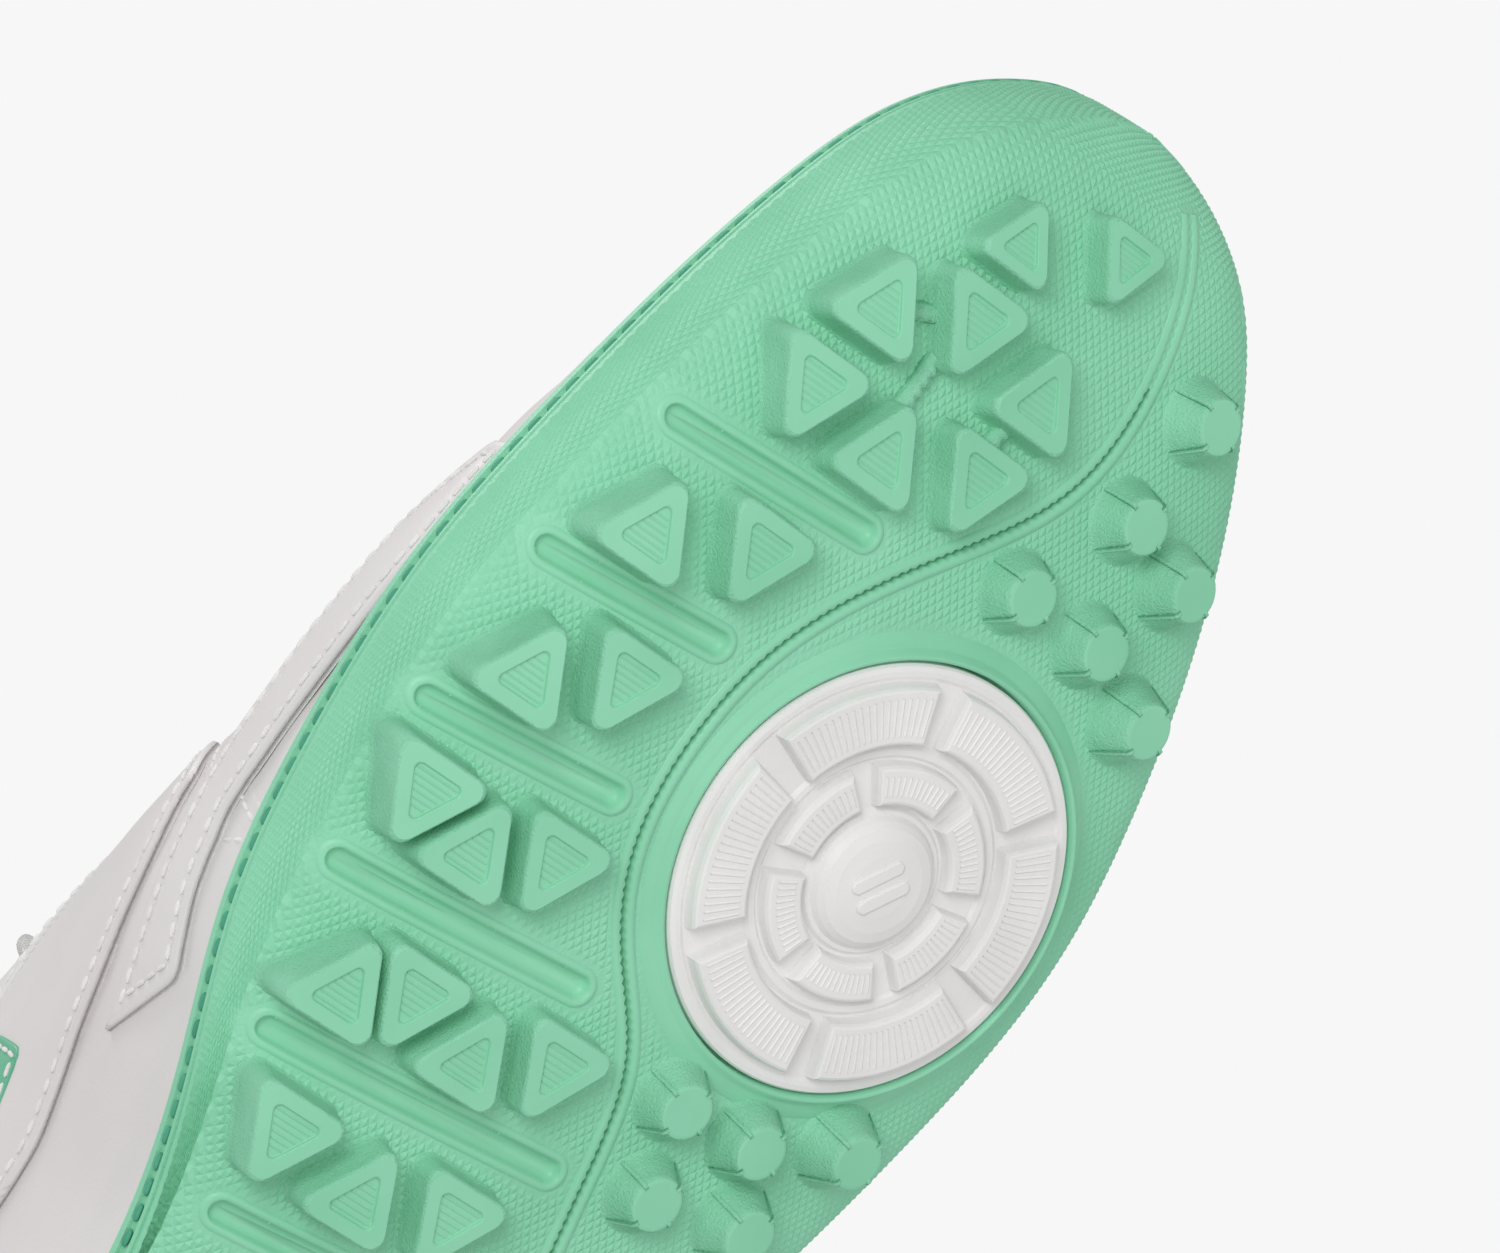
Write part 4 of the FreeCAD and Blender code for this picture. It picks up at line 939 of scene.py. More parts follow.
def inside(points, outline):
    """Which points lie inside a closed outline in the plan."""
    x, y = points[:, 0], points[:, 1]
    result = np.zeros(len(points), bool)
    a, b = outline, np.roll(outline, -1, 0)
    for (x0, y0), (x1, y1) in zip(a, b):
        if y0 == y1:
            continue
        crosses = (y0 > y) != (y1 > y)
        result ^= crosses & (x < (x1 - x0) * (y - y0) / (y1 - y0) + x0)
    return result


def creases(points):
    """Slow unevenness of soft leather."""
    x, y, z = points[:, 0], points[:, 1], points[:, 2]
    wave = np.sin(x * 0.21 + 1.3 * np.sin(z * 0.13 + y * 0.05)) * np.sin(z * 0.17 + x * 0.043)
    fine = np.sin(x * 0.47 + z * 0.31 + 1.7 * np.sin(x * 0.11)) * np.sin(z * 0.39 - x * 0.15)
    return 0.16 * wave + 0.07 * fine


def panel(name, plan, outline, inset, thick, finish, slot, replaces=(), seams=(2.2,), puff=None, grid=2.3,
          edge=0.6, wrinkle=1.0):
    """One leather panel: flat outline laid on the form, rounded edges, a seam dent and its stitches."""
    outline = resample(np.asarray(outline, float), 1.3, closed=True)
    if np.cross(outline, np.roll(outline, -1, 0)).sum() < 0:
        outline = outline[::-1]
    spot, normal, along, across = lay(plan, outline, inset)
    inward = np.cross(normal, unit(np.roll(spot, -1, 0) - np.roll(spot, 1, 0)))
    flat_in = left_of(np.roll(outline, -1, 0) - np.roll(outline, 1, 0))
    lead = along * flat_in[:, :1] + across * flat_in[:, 1:]
    inward *= np.where((inward * lead).sum(1, keepdims=True) < 0, -1.0, 1.0)
    # the step in the flat plan that goes one millimetre inward on the form
    aa, ab, bb = (along ** 2).sum(1), (along * across).sum(1), (across ** 2).sum(1)
    u, v = (along * inward).sum(1), (across * inward).sum(1)
    det = np.maximum(aa * bb - ab ** 2, 1e-4)
    flat_step = np.clip(np.stack([(bb * u - ab * v) / det, (aa * v - ab * u) / det], -1), -4.0, 4.0)
    # rows of points beside the edge and the seams, then an even lattice inside them
    rows = sorted(set([0.2, 0.55, 1.1] + [s + d for s in seams for d in (-0.55, 0.0, 0.55)]))
    points = [outline]
    for reach in rows:
        moved = outline + flat_step * reach
        moved = moved[inside(moved, outline)]
        if len(moved):
            points.append(moved[closest(lay(plan, moved, inset)[0], spot) > reach * 0.86])
    low, high = outline.min(0), outline.max(0)
    us = np.arange(low[0] + grid / 2, high[0], grid)
    vs = np.arange(low[1] + grid / 2, high[1], grid)
    lattice = np.array([(a, b + (grid / 2 if i % 2 else 0.0)) for i, a in enumerate(us) for b in vs])
    lattice = lattice[inside(lattice, outline)]
    points.append(lattice[closest(lay(plan, lattice, inset)[0], spot) > rows[-1] + 0.7])
    flat = np.concatenate(points)
    count = len(outline)
    loop = [(i, (i + 1) % count) for i in range(count)]
    result = geometry.delaunay_2d_cdt([Vector(p) for p in flat], loop, [], 1, 1e-5)
    flat = np.array([tuple(p) for p in result[0]])
    faces = [tuple(face) for face in result[2]]
    origin = {}
    for index, sources in enumerate(result[3]):
        for source in sources:
            origin[source] = index
    base, normals, _, _ = lay(plan, flat, inset)
    # the vamp is closed round the toe's tip, so its outline there is no edge
    is_edge = spot[:, 0] < 142.6
    gap = closest(base, spot[is_edge])
    gap[[origin[i] for i in range(count) if is_edge[i]]] = 0.0
    height = -edge * (1.0 - np.sqrt(np.maximum(0.0, 1.0 - (1.0 - np.clip(gap / edge, 0.0, 1.0)) ** 2)))
    for seam in seams:
        height -= 0.2 * np.exp(-((gap - seam) / 0.45) ** 2)
    height += creases(base) * ease(gap, 0.5, 9.0) * wrinkle
    if puff:
        height += puff(base, gap)
    top = base + normals * height[:, None]
    rim = [origin[i] for i in range(count)]
    under = base[rim] - normals[rim] * thick
    first = len(top)
    skirt = [(rim[i], first + i, first + (i + 1) % count, rim[(i + 1) % count]) for i in range(count)]
    sample = faces[len(faces) // 2]
    a, b, c = (top[i] for i in sample[:3])
    if np.cross(b - a, c - a).dot(normals[sample[0]]) < 0:
        faces = [face[::-1] for face in faces]
    else:
        skirt = [face[::-1] for face in skirt]
    for seam in seams[:1]:
        sew(spot, inward, normal, seam)
    return keep(name, np.concatenate([top, under]), faces + skirt, finish, slot, replaces)


def sew(spot, inward, normal, reach):
    """Stitches along an outline, set in from its edge."""
    line = spot + inward * reach
    line = np.concatenate([line, normal, closest(line, spot)[:, None]], axis=1)
    even = resample(line, STITCH_GAP / 2.0, closed=True)
    for start, end in zip(even[:-1:2], even[1::2]):
        far = np.linalg.norm(end[:3] - start[:3]) > STITCH_GAP
        if min(start[6], end[6]) < reach * 0.8 or far or start[0] > STITCH_END_X:
            continue
        way = (end[:3] - start[:3]) * 0.22
        stitch(start[:3] - way, end[:3] + way, start[3:6])


def stitch(start, end, up):
    """One white stitch, slightly sunk."""
    capsule(thread_heap, start - up * 0.02, end - up * 0.02, 0.3, up)


STITCH_GAP = 2.5
STITCH_END_X = 141.0  # no stitches beyond, round the toe's tip
TONGUE_DROP, TONGUE_MIDDLE = 11.5, 14.4  # depths under the form of its face and its middle
THROAT_FRONT, THROAT_HALF = 52.0, 9.2
SIDES = ((-1, "lateral"), (1, "medial"))
thread_heap = Heap()


def throat_half(x, widening=0.0):
    """Half width of the throat at one x, behind its round front."""
    return THROAT_HALF + widening + 3.5 * (THROAT_FRONT - x) / 127.0


def throat_nose(widening):
    """Places on the crown's plan round the throat's front, from the lateral to the medial side."""
    radius = THROAT_HALF + widening
    turns = np.linspace(-math.pi / 2.0, math.pi / 2.0, 24)
    places = [tq_plan(THROAT_FRONT + radius * math.cos(a), radius * math.sin(a)) for a in turns]
    return [(t, q * FULL) for t, q in places]


def corner_x(widening=0.0):
    """Where the throat's edge meets the foot opening's edge."""
    xs = np.linspace(-45.0, -15.0, 200)
    heights = np.array([float(crown_z(SKIN, x, throat_half(x, widening))) for x in xs])
    return float(xs[np.argmin(np.abs(heights - topline(xs)))])


CORNER = corner_x()


def on_plan(t, q, plan):
    """A place t, q in the numbers of the crown's or the heel's plan."""
    if plan is heel_plan:
        return (t if q >= 0 else -t), (1.0 - abs(q)) * FULL
    return t, q * FULL


def flat_line(points, side, plan):
    """Plan places of a polyline of the side view (x, z)."""
    return [on_plan(*tq_side(x, z, side), plan) for x, z in resample(points, 2.0)]


def throat_line(start, end, count, side, plan, widening=0.0):
    """Plan places along the throat's edge, or beside it."""
    line = [(x, throat_half(x, widening)) for x in np.linspace(start, end, count)]
    return [on_plan(*tq_plan(x, y * side), plan) for x, y in resample(line, 2.0)]


def cup_edge(x0, x1, side, plan):
    """Plan places along the lower edge, inside the cup."""
    xs = np.linspace(x0, x1, max(3, int(abs(x1 - x0) / 2.0)))
    return [on_plan(float(t_of_x(x, SKIN)), side * 1.0, plan) for x in xs]


def top_edge(x0, x1, side, plan, drop=1.5):
    """Plan places along the foot opening's edge."""
    xs = np.linspace(x0, x1, max(3, int(abs(x1 - x0) / 2.0)))
    return flat_line([(x, float(topline(x)) - drop) for x in xs], side, plan)


UPPER_END_X = 142.1  # the panels' lower edges end here, before the form's end at toe and heel
VAMP_LINE = [(24.0, 12.0), (18.0, 30.0), (28.0, 57.0), (38.0, 65.8)]


def make_vamp():
    """Leather of the toe and the forefoot, with two soft folds behind the toe."""
    left = flat_line(VAMP_LINE, -1, crown_plan)
    right = flat_line(VAMP_LINE, 1, crown_plan)[::-1]
    toe = cup_edge(24.0, UPPER_END_X, 1, crown_plan)
    end = [(T_END - 0.05, q) for q in np.linspace(FULL, -FULL, 40)[1:-1]]
    back = cup_edge(UPPER_END_X, 24.0, -1, crown_plan)

    def fold(base, gap):
        bend = np.exp(-((base[:, 0] - 66.0 - 0.10 * np.abs(base[:, 1])) / 4.5) ** 2)
        second = np.exp(-((base[:, 0] - 80.0 - 0.14 * np.abs(base[:, 1])) / 4.0) ** 2)
        return -(0.5 * bend + 0.35 * second) * ease(gap, 1.0, 8.0)

    panel("vamp_leather", crown_plan, left + throat_nose(2.5) + right + toe + end + back, SKIN, 1.4, LEATHER,
          "leather_white", ("vamp", "toe_puff"), puff=fold)


def collar_puff(base, gap):
    """Padding under the foot opening's edge."""
    drop = topline(base[:, 0]) - base[:, 2]
    behind = ease(-base[:, 0], 30.0, 48.0)
    waist = ease(base[:, 0], -60.0, -40.0) * ease(-base[:, 0], -12.0, 4.0)
    crease = np.exp(-((base[:, 2] - 21.5) / 1.3) ** 2) * waist
    cushion = np.exp(-((drop - 11.0) / 7.0) ** 2)
    line = np.exp(-((drop - 23.0) / 1.0) ** 2)
    return behind * (0.7 * cushion - 0.45 * line) - 0.45 * crease


def quarter_outline(front, throat_x, throat_count, heel_count, low_x, side):
    """Outline of a side panel from its front line over the throat, the foot opening and the heel."""
    top = top_edge(CORNER, -UPPER_END_X, side, heel_plan)
    heel = [(side * 0.02, b) for b in np.linspace(top[-1][1], 0.0, heel_count)[1:]]
    return (flat_line(front, side, heel_plan) + throat_line(throat_x, CORNER, throat_count, side, heel_plan)
            + top + heel + cup_edge(-UPPER_END_X, low_x, side, heel_plan))


def make_quarters():
    for side, word in SIDES:
        outline = quarter_outline([(24.0, 12.0), (30.0, 38.0), (41.0, 61.5)], 50.0, 40, 20, 24.0, side)
        panel("quarter_leather_" + word, heel_plan, outline, SKIN, 1.4, LEATHER, "leather_white",
              ("quarter_" + word,), puff=collar_puff)


def make_overlays():
    """On each side a saddle, a low pointed wing in front of it and a plain patch."""
    for side, word in SIDES:
        back = flat_line([(-80.0, 10.0), (-73.0, 30.0), (-52.0, 50.0), (-33.0, 63.0), (-26.0, 68.0)], side,
                         crown_plan)
        top = throat_line(-22.0, 26.0, 16, side, crown_plan, 11.5)
        front = flat_line([(27.5, 61.0), (28.0, 55.0), (24.0, 48.0), (14.0, 44.5), (3.0, 44.5), (-7.0, 44.5),
                           (-20.0, 42.0), (-34.0, 43.5), (-48.0, 36.0), (-57.0, 22.0), (-61.0, 10.0)], side,
                          crown_plan)
        low = cup_edge(-62.0, -79.0, side, crown_plan)
        panel("saddle_leather_" + word, crown_plan, back + top + front + low, FACE, 1.2, LEATHER,
              "leather_white", ("saddle_" + word,), wrinkle=0.8)
        wing = flat_line([(-5.0, 37.0), (7.0, 38.0), (20.0, 40.0), (30.0, 41.0), (45.0, 41.0), (60.0, 38.0),
                          (74.0, 29.0), (75.0, 23.5), (60.0, 23.0), (46.0, 25.5), (35.0, 28.0), (24.0, 30.0),
                          (13.0, 28.0), (5.0, 25.0), (-5.0, 37.0)], side, crown_plan)
        panel("wing_leather_" + word, crown_plan, wing, FACE, 1.2, LEATHER, "leather_white",
              ("side_wing_" + word,), wrinkle=0.6)
        patch = flat_line([(-31.0, 50.0), (-13.5, 56.5), (-14.5, 67.0), (-33.0, 60.0), (-31.0, 50.0)], side,
                          crown_plan)
        panel("side_patch_" + word, crown_plan, patch, FACE - 0.35, 0.6, PATCH, "patch_green",
              ("side_patch_" + word,), seams=(1.2,), grid=1.8, edge=0.35, wrinkle=0.5)


def make_facing():
    """One panel round the throat, for the lace holes."""
    rear = [(CORNER - 4.0, float(topline(CORNER - 4.0)) - 5.0), (-28.0, 80.0)]
    outline = flat_line(rear, -1, crown_plan) + throat_line(-21.0, 51.0, 30, -1, crown_plan, 13.5)
    outline += throat_nose(13.5)
    outline += throat_line(51.0, -21.0, 30, 1, crown_plan, 13.5) + flat_line(rear[::-1], 1, crown_plan)
    outline += throat_line(CORNER + 1.0, 51.0, 40, 1, crown_plan)
    outline += throat_nose(0.0)[::-1]
    outline += throat_line(51.0, CORNER + 1.0, 40, -1, crown_plan)
    panel("lace_facing", crown_plan, outline, FACE - 0.4, 1.5, LEATHER_FACING, "leather_white",
          ("eyestay_lateral", "eyestay_medial", "eyestay_backing_lateral", "eyestay_backing_medial"),
          grid=1.9, wrinkle=0.4)


def make_heel_cover():
    line = [(-92.0, 14.0), (-95.0, 30.0), (-103.0, 55.0), (-115.5, 69.5)]
    outline = flat_line(line, -1, heel_plan)
    outline += top_edge(-117.0, -UPPER_END_X, -1, heel_plan, 5.5)
    outline += top_edge(-UPPER_END_X, -117.0, 1, heel_plan, 5.5)
    outline += flat_line(line[::-1], 1, heel_plan)
    outline += cup_edge(-92.0, -UPPER_END_X, 1, heel_plan) + cup_edge(-UPPER_END_X, -92.0, -1, heel_plan)
    panel("heel_leather", heel_plan, outline, FACE, 1.2, LEATHER_FACING, "leather_white",
          ("heel_cover", "heel_stiffener"), wrinkle=0.5)


def make_linings():
    """Textile inside, from the sockliner up to the foot opening, swollen by the collar's padding."""
    stands_for = {"lateral": ("quarter_lining", "foam_lateral", "collar_padding"),
                  "medial": ("foam_medial", "vamp_lining")}

    def swell(base, gap):
        drop = topline(base[:, 0]) - base[:, 2]
        return -1.1 * ease(-base[:, 0], 30.0, 48.0) * np.exp(-((drop - 11.0) / 8.0) ** 2)

    for side, word in SIDES:
        outline = quarter_outline([(44.0, 20.0), (44.0, 60.0)], 48.0, 30, 16, 44.0, side)
        obj = panel("lining_" + word, heel_plan, outline, INSIDE, 0.3, TEXTILE, "lining_textile",
                    stands_for[word], seams=(), puff=swell, edge=0.2, grid=3.0)
        obj.data.flip_normals()


def make_binding():
    """Soft rolled edge of the foot opening, from corner to corner round the heel."""
    xs = np.concatenate([np.linspace(CORNER, -128.0, 60), np.linspace(-128.0, -141.8, 26)])
    route = [(x, -1) for x in xs] + [(x, 1) for x in xs[::-1]]
    profile = [(SKIN + 1.9 - 2.65 * math.cos(a), -2.1 + 2.4 * math.sin(a))
               for a in np.linspace(0.0, math.pi, 11)]
    profile = [(SKIN - 0.55, -5.4)] + profile + [(INSIDE + 0.3, -5.4)]
    rings = []
    for x, side in route:
        t = t_of_x(x, SKIN)
        rings += [rim_point(t, topline(x) + rise, side, inset) for inset, rise in profile]
    keep("collar_binding", rings, ring_faces(len(route), len(profile), closed=False), LEATHER_FACING,
         "leather_white", ("topline_binding",))


def make_tongue():
    """Padded tongue: face, back and rolled sides."""
    half_at = through([(-54.0, 9.0), (-50.0, 11.5), (-42.0, 13.0), (-28.0, 14.0), (-8.0, 16.0), (14.0, 17.5),
                       (36.0, 17.5), (52.0, 15.5), (59.0, 13.5), (66.0, 10.5)])
    rise_at = through([(-60.0, 0.0), (14.0, 0.0), (36.0, 0.0), (52.0, 1.0), (59.0, 3.2), (66.0, 5.4)])
    tip_x = -50.0
    xs = np.concatenate([np.linspace(66.0, tip_x, 80), [-51.5, -52.8, -53.6, -54.0]])
    ring = circle(56)
    rings = []
    for x in xs:
        close = 1.0 if x > tip_x else max(0.12, math.sqrt(max(0.0, 1.0 - ((tip_x - x) / 4.2) ** 2)))
        half = float(half_at(x)) * (0.6 + 0.4 * close)
        for c, s in ring:
            across = math.copysign(abs(c) ** 0.45, c) * half
            over = math.copysign(abs(s) ** 0.7, s)
            depth = TONGUE_MIDDLE - float(rise_at(x)) - 2.95 * close * over
            quilt = 0.35 * math.sin(x * 0.42) * (1.0 - abs(across / half) ** 6) if over > 0 else 0.0
            rings.append((x, across, float(crown_z(depth, x, across)) + quilt))
    obj = keep("tongue_pad", rings, ring_faces(len(xs), len(ring)), LEATHER, "leather_white",
               ("tongue_face", "tongue_foam", "tongue_lining"), body="tongue")
    tape = []
    for x, lift in ((-9.0, 0.1), (-9.0, 1.0), (-3.0, 1.0), (-3.0, 0.1)):
        tape += [(x, y, float(crown_z(TONGUE_DROP, x, y)) + lift) for y in np.linspace(-8.5, 8.5, 12)]
    keep("tongue_lace_loop", tape, ring_faces(4, 12, closed=False), WEBBING, "webbing", body="tongue")


def make_sockliner():
    """Loose insole: cupped, with a fabric top and a rolled rim."""
    ts = np.concatenate([np.linspace(0.6, 12.0, 12), np.linspace(14.0, T_END - 14.0, 70),
                         np.linspace(T_END - 12.0, T_END - 0.6, 12)])
    across = np.linspace(-1.0, 1.0, 41)
    share = np.sin(across * math.pi / 2.0)
    bottom, top = [], []
    for t in ts:
        x, centre, half, _, _, _ = (float(v) for v in shape_at(t, INSIDE + 1.4))
        board = 12.4 + 3.4 * float(ease(20.0 - x, 0.0, 90.0)) + 0.0018 * max(0.0, x - TOE_SPRING_X) ** 2
        cup = 1.3 * np.abs(share) ** 6
        arch = 0.88 * math.exp(-((x + 30.0) / 26.0) ** 2) * ease(across, 0.0, 1.0)
        bottom += [(x, y, board + 2.05) for y in centre + half * share]
        top += [(x, y, board + 6.0 + rise) for y, rise in zip(centre + half * share, cup + arch)]
    size, count = len(across), len(ts)
    start = count * size
    faces = ring_faces(count, size, closed=False)
    faces += [tuple(start + i for i in face[::-1]) for face in faces]
    border = ([k for k in range(size)] + [(i + 1) * size - 1 for i in range(1, count)]
              + [count * size - 1 - k for k in range(1, size)] + [i * size for i in range(count - 2, 0, -1)])
    faces += [(here, there, start + there, start + here)
              for here, there in zip(border, border[1:] + border[:1])]
    obj = keep("sock_insole", bottom + top, faces, SOCK, "sock_fabric", ("sockliner",), body="sockliner")


# ---------------------------------------------------------------- lace
ROWS = 6
LACE_RADIUS = 1.25


def lace_route():
    """The lace's route, from one tucked end to the other."""
    rows = [(50.0 - 14.0 * i, throat_half(50.0 - 14.0 * i) + 6.3) for i in range(ROWS)]
    top, low, holes = {}, {}, []

    def crown(inset, x, y):
        return float(crown_z(inset, x, y))

    for row, (x, out) in enumerate(rows):
        for side in (-1, 1):
            y = side * out
            z = crown(FACE, x, y)
            axis = np.array([-(crown(FACE, x + 1.0, y) - z), -(crown(FACE, x, y + 1.0) - z), 1.0])
            axis /= np.linalg.norm(axis)
            face = np.array([x, y, z])
            holes.append((face, axis))
            top[row, side] = face + axis * (LACE_RADIUS + 0.9)
            low[row, side] = face - axis * ((STAY_BACK - FACE) * 0.85 + LACE_RADIUS + 0.35)

    def over_tongue(x, side, height):
        return np.array([x, side * 5.5, crown(SKIN, x, side * 5.5) + height])

    def tail(side):
        beside = TONGUE_DROP - LACE_RADIUS - 1.2
        points = [np.array([-25.0, side * 17.5, crown(beside, -25.0, side * 17.5)])]
        for x, z, off in ((-30.0, 58.0, 1.9), (-34.0, 45.0, 3.4)):
            points.append(wall_point(x, z, side, INSIDE + LACE_RADIUS + off))
        return points

    def strand(side):
        height = 0.2 if side < 0 else 3.6
        points = [low[0, side], top[0, side]]
        for row in range(1, ROWS):
            for share, flank in ((0.36, side), (0.64, -side)):
                x = rows[row - 1][0] + (rows[row][0] - rows[row - 1][0]) * share
                points.append(over_tongue(x, flank, height))
            side = -side
            points += [low[row, side], top[row, side]] if row < ROWS - 1 else [top[row, side], low[row, side]]
        return points + tail(side)

    first, second = strand(-1), strand(1)
    front = [over_tongue(50.0, -1, -1.0), over_tongue(50.0, 1, -1.0)]
    return first[::-1] + front + second, holes


def rounded(points):
    """Straight runs joined by tangent arcs, as even points."""
    path = [points[0]]
    for i in range(1, len(points) - 1):
        here = points[i]
        back, ahead = points[i - 1] - here, points[i + 1] - here
        size_back, size_ahead = np.linalg.norm(back), np.linalg.norm(ahead)
        reach = 0.45 * min(size_back, size_ahead)
        enter, leave = here + back / size_back * reach, here + ahead / size_ahead * reach
        for share in np.linspace(0.0, 1.0, 7):
            path.append((1 - share) ** 2 * enter + 2 * share * (1 - share) * here + share ** 2 * leave)
    path.append(points[-1])
    return resample(np.array(path), 0.8)


def make_lace():
    """The braided lace, its two tips and the lace holes."""
    route, holes = lace_route()
    path = rounded(route)
    run = np.arange(len(path)) * 0.8
    braid = LACE_RADIUS * (1.0 + 0.05 * np.sin(run * 2 * math.pi / 1.6))
    keep("lace_cord", *tube(path, braid, 14, flat=0.92), LACE, "lace_cord", ("lace",))
    for word, end, inner in (("medial", path[0], path[3]), ("lateral", path[-1], path[-4])):
        way = (end - inner) / np.linalg.norm(end - inner)
        line = [end + way * s for s in (0.0, 0.4, 0.5, 7.0, 13.2, 13.7, 14.0)]
        radii = np.array([1.25, 1.3, 1.5, 1.48, 1.4, 1.25, 0.9])
        keep("lace_tip_" + word, *tube(line, radii, 16), AGLET, "aglet_film", ("aglet_" + word,))
    # punched holes: rolled rings set in the facing, over a dark disc
    rings, shades = Heap(), Heap()
    for face, axis in holes:
        side = np.cross(axis, (1.0, 0.0, 0.0))
        side /= np.linalg.norm(side)
        along = np.cross(side, axis)
        loops = []
        for radius, height in ((3.0, -0.25), (2.85, 0.22), (2.45, 0.36), (2.1, 0.12), (1.95, -1.6)):
            loops += [face + axis * height + (side * c + along * s) * radius for c, s in circle(24)]
        rings.add(loops, ring_faces(5, 24, caps=(False, False)))
        shades.add([face - axis * 0.05 + (side * c + along * s) * 2.2 for c, s in circle(16)],
                   [tuple(range(16))])
    rings.keep("lace_hole_rings", LEATHER_FACING, "leather_white")
    shades.keep("lace_hole_shade", DARK, "webbing")


TAB_Y = -1.6  # the heel's middle line


def make_pull_tab():
    """Woven loop over the collar at the heel."""
    outer = HALF - FACE + 0.05 + 1.4
    inner = HALF - INSIDE - 1.0 - 1.4
    centre = -(outer + inner) / 2.0
    radius = (outer - inner) / 2.0 - 0.7
    low, high = 66.0, 97.0
    line = [(centre - radius, z) for z in np.linspace(low, high, 16)]
    line += [(centre - radius * math.cos(a), high + radius * math.sin(a))
             for a in np.linspace(0, math.pi, 14)[1:-1]]
    line += [(centre + radius, z) for z in np.linspace(high, low, 16)]
    line = np.array(line)
    section = [(-6.0, 0.0), (-5.8, 0.55), (-5.2, 0.7), (-4.6, 0.55), (0.0, 0.6), (4.6, 0.55), (5.2, 0.7),
               (5.8, 0.55), (6.0, 0.0), (5.8, -0.55), (5.2, -0.7), (0.0, -0.6), (-5.2, -0.7), (-5.8, -0.55)]
    rings = []
    for spot, out in zip(line, left_of(unit(np.gradient(line, axis=0)))):
        rings += [(spot[0] + out[0] * d, TAB_Y + y, spot[1] + out[1] * d) for y, d in section]
    keep("heel_loop", rings, ring_faces(len(line), len(section)), WEBBING, "webbing", ("heel_pull_tab",))
    outward = np.array([-1.0, 0.0, 0.0])
    for y in (TAB_Y - 4.4, TAB_Y + 4.4):
        for z in np.arange(68.0, 88.0, 2.6):
            start = np.array([centre - radius - 0.75, y, z])
            stitch(start, start + [0.0, 0.0, 1.9], outward)


def make_wall_stitches():
    """Stitches in the groove under the cup's edge, all round the shoe."""
    green = Heap()
    for side in (-1, 1):
        line = []
        for t in np.arange(1.5, T_END - 1.0, 0.25):
            line.append(rim_point(t, cup_top(shape_at(t, 0.3)[0]) - 2.05, side, 0.3))
        even = resample(line, 1.55)
        for start, end in zip(even[:-1:2], even[1::2]):
            way = end - start
            up = np.cross(way, (0.0, 0.0, 1.0))
            up = up / max(np.linalg.norm(up), 1e-9) * -side
            capsule(green, start - way * 0.18, end + way * 0.18, 0.42, up)
    green.keep("wall_stitches", THREAD_GREEN, "thread_green", replaces=("sidewall_stitching",))


make_vamp()
make_quarters()
make_overlays()
make_facing()
make_heel_cover()
make_linings()
make_binding()
make_tongue()
make_sockliner()
make_lace()
make_pull_tab()
make_wall_stitches()
thread_heap.keep("upper_stitches", THREAD, "leather_white")
for name, look in (("midsole", FOAM), ("insole_board", BOARD)):
    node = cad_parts[name]
    node.data.materials.clear()
    node.data.materials.append(look)


# ---------------------------------------------------------------- stage
def area_light(name, spot, target, size, power):
    data = bpy.data.lights.new(name, "AREA")
    data.shape = "SQUARE"
    data.size = size
    data.energy = power
    light = bpy.data.objects.new(name, data)
    light.location = spot
    light.rotation_euler = (Vector(target) - Vector(spot)).to_track_quat("-Z", "Y").to_euler()
    bpy.context.scene.collection.objects.link(light)


PALE = (0.93, 0.93, 0.93, 1.0)
FLOOR_Z = -0.0003  # metres, just clear of the lug tips


def make_floor():
    """Pale floor seen from above only, with a soft contact shade."""
    mesh = bpy.data.meshes.new("floor")
    corners = ((-3, -3), (3, -3), (3, 3), (-3, 3))
    mesh.from_pydata([(x, y, FLOOR_Z) for x, y in corners], [], [(0, 1, 2, 3)])
    floor = bpy.data.objects.new("floor", mesh)
    bpy.context.scene.collection.objects.link(floor)
    material = bpy.data.materials.new("floor")
    material.use_nodes = True
    nodes, links = material.node_tree.nodes, material.node_tree.links
    near = nodes.new("ShaderNodeAmbientOcclusion")
    near.samples = 8
    near.inputs["Distance"].default_value = 0.1
    near.inputs["Color"].default_value = PALE
    shader = nodes.new("ShaderNodeEmission")
    links.new(near.outputs["Color"], shader.inputs["Color"])
    clear = nodes.new("ShaderNodeBsdfTransparent")
    side = nodes.new("ShaderNodeNewGeometry")
    mix = nodes.new("ShaderNodeMixShader")
    links.new(side.outputs["Backfacing"], mix.inputs[0])
    links.new(shader.outputs[0], mix.inputs[1])
    links.new(clear.outputs[0], mix.inputs[2])
    links.new(mix.outputs[0], nodes["Material Output"].inputs["Surface"])
    nodes.remove(nodes["Principled BSDF"])
    material.cycles.emission_sampling = "NONE"
    mesh.materials.append(material)
    floor.visible_shadow = False
    floor.visible_diffuse = False


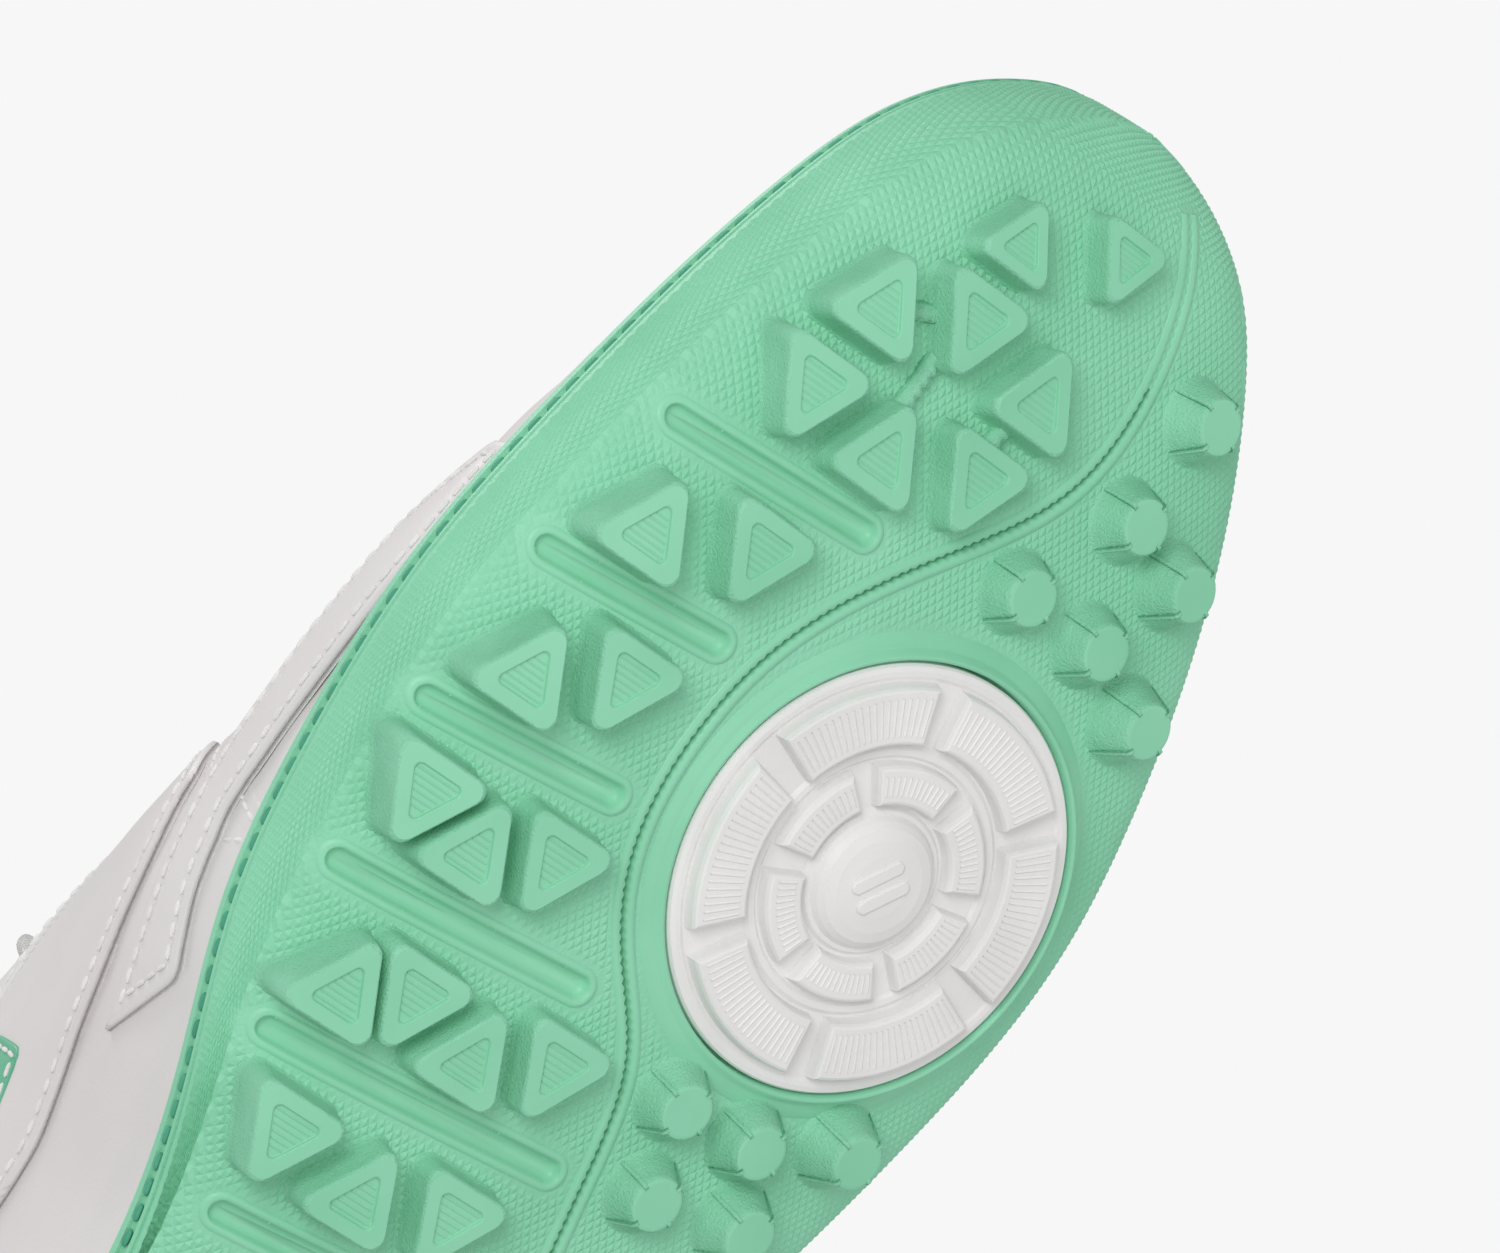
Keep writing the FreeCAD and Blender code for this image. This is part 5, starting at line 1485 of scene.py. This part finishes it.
def make_world():
    """Even white light; the camera sees the same pale tone as the floor."""
    world = bpy.data.worlds.new("studio")
    bpy.context.scene.world = world
    world.use_nodes = True
    nodes, links = world.node_tree.nodes, world.node_tree.links
    fill = nodes["Background"]
    fill.inputs["Color"].default_value = (1.0, 1.0, 1.0, 1.0)
    fill.inputs["Strength"].default_value = 0.52
    seen = nodes.new("ShaderNodeBackground")
    seen.inputs["Color"].default_value = PALE
    seen.inputs["Strength"].default_value = 1.0
    path = nodes.new("ShaderNodeLightPath")
    mix = nodes.new("ShaderNodeMixShader")
    links.new(path.outputs["Is Camera Ray"], mix.inputs[0])
    links.new(fill.outputs[0], mix.inputs[1])
    links.new(seen.outputs[0], mix.inputs[2])
    links.new(mix.outputs[0], nodes["World Output"].inputs["Surface"])


def make_camera():
    """The photograph's view, from below on the lateral side, and the two lights that go with it."""
    right = Vector((0.57215, 0.65928, -0.48785))
    up = Vector((0.82015, -0.45992, 0.34033))
    back = Vector((0.0, -0.59482, -0.80386))
    data = bpy.data.cameras.new("Camera")
    data.lens = 212.6
    data.sensor_width = 36.0
    data.clip_end = 20.0
    camera = bpy.data.objects.new("Camera", data)
    spot = Vector((0.07375, -0.60143, -0.78357))
    camera.matrix_world = Matrix((
        (right.x, up.x, back.x, spot.x), (right.y, up.y, back.y, spot.y),
        (right.z, up.z, back.z, spot.z), (0, 0, 0, 1)))
    bpy.context.scene.collection.objects.link(camera)
    bpy.context.scene.camera = camera
    middle = Vector((0.06, -0.005, 0.01))
    key = middle + (-0.15 * right + 0.3 * up + 1.0 * back) * 0.9
    area_light("key_below", key, middle, 0.4, 4.0)
    fill = middle + (0.8 * right - 0.5 * up + 1.0 * back) * 1.1
    area_light("fill_below", fill, middle, 0.9, 4.2)


make_floor()
make_world()
make_camera()
area_light("key_above", (0.5, -0.4, 1.2), (0, 0, 0.05), 0.5, 6.0)
area_light("fill_above", (-0.7, 0.7, 0.8), (0, 0, 0.05), 1.0, 4.0)
area_light("rim_above", (-0.9, -0.2, 0.7), (0, 0, 0.05), 0.6, 2.0)
scene = bpy.context.scene
scene.view_settings.view_transform = "Standard"
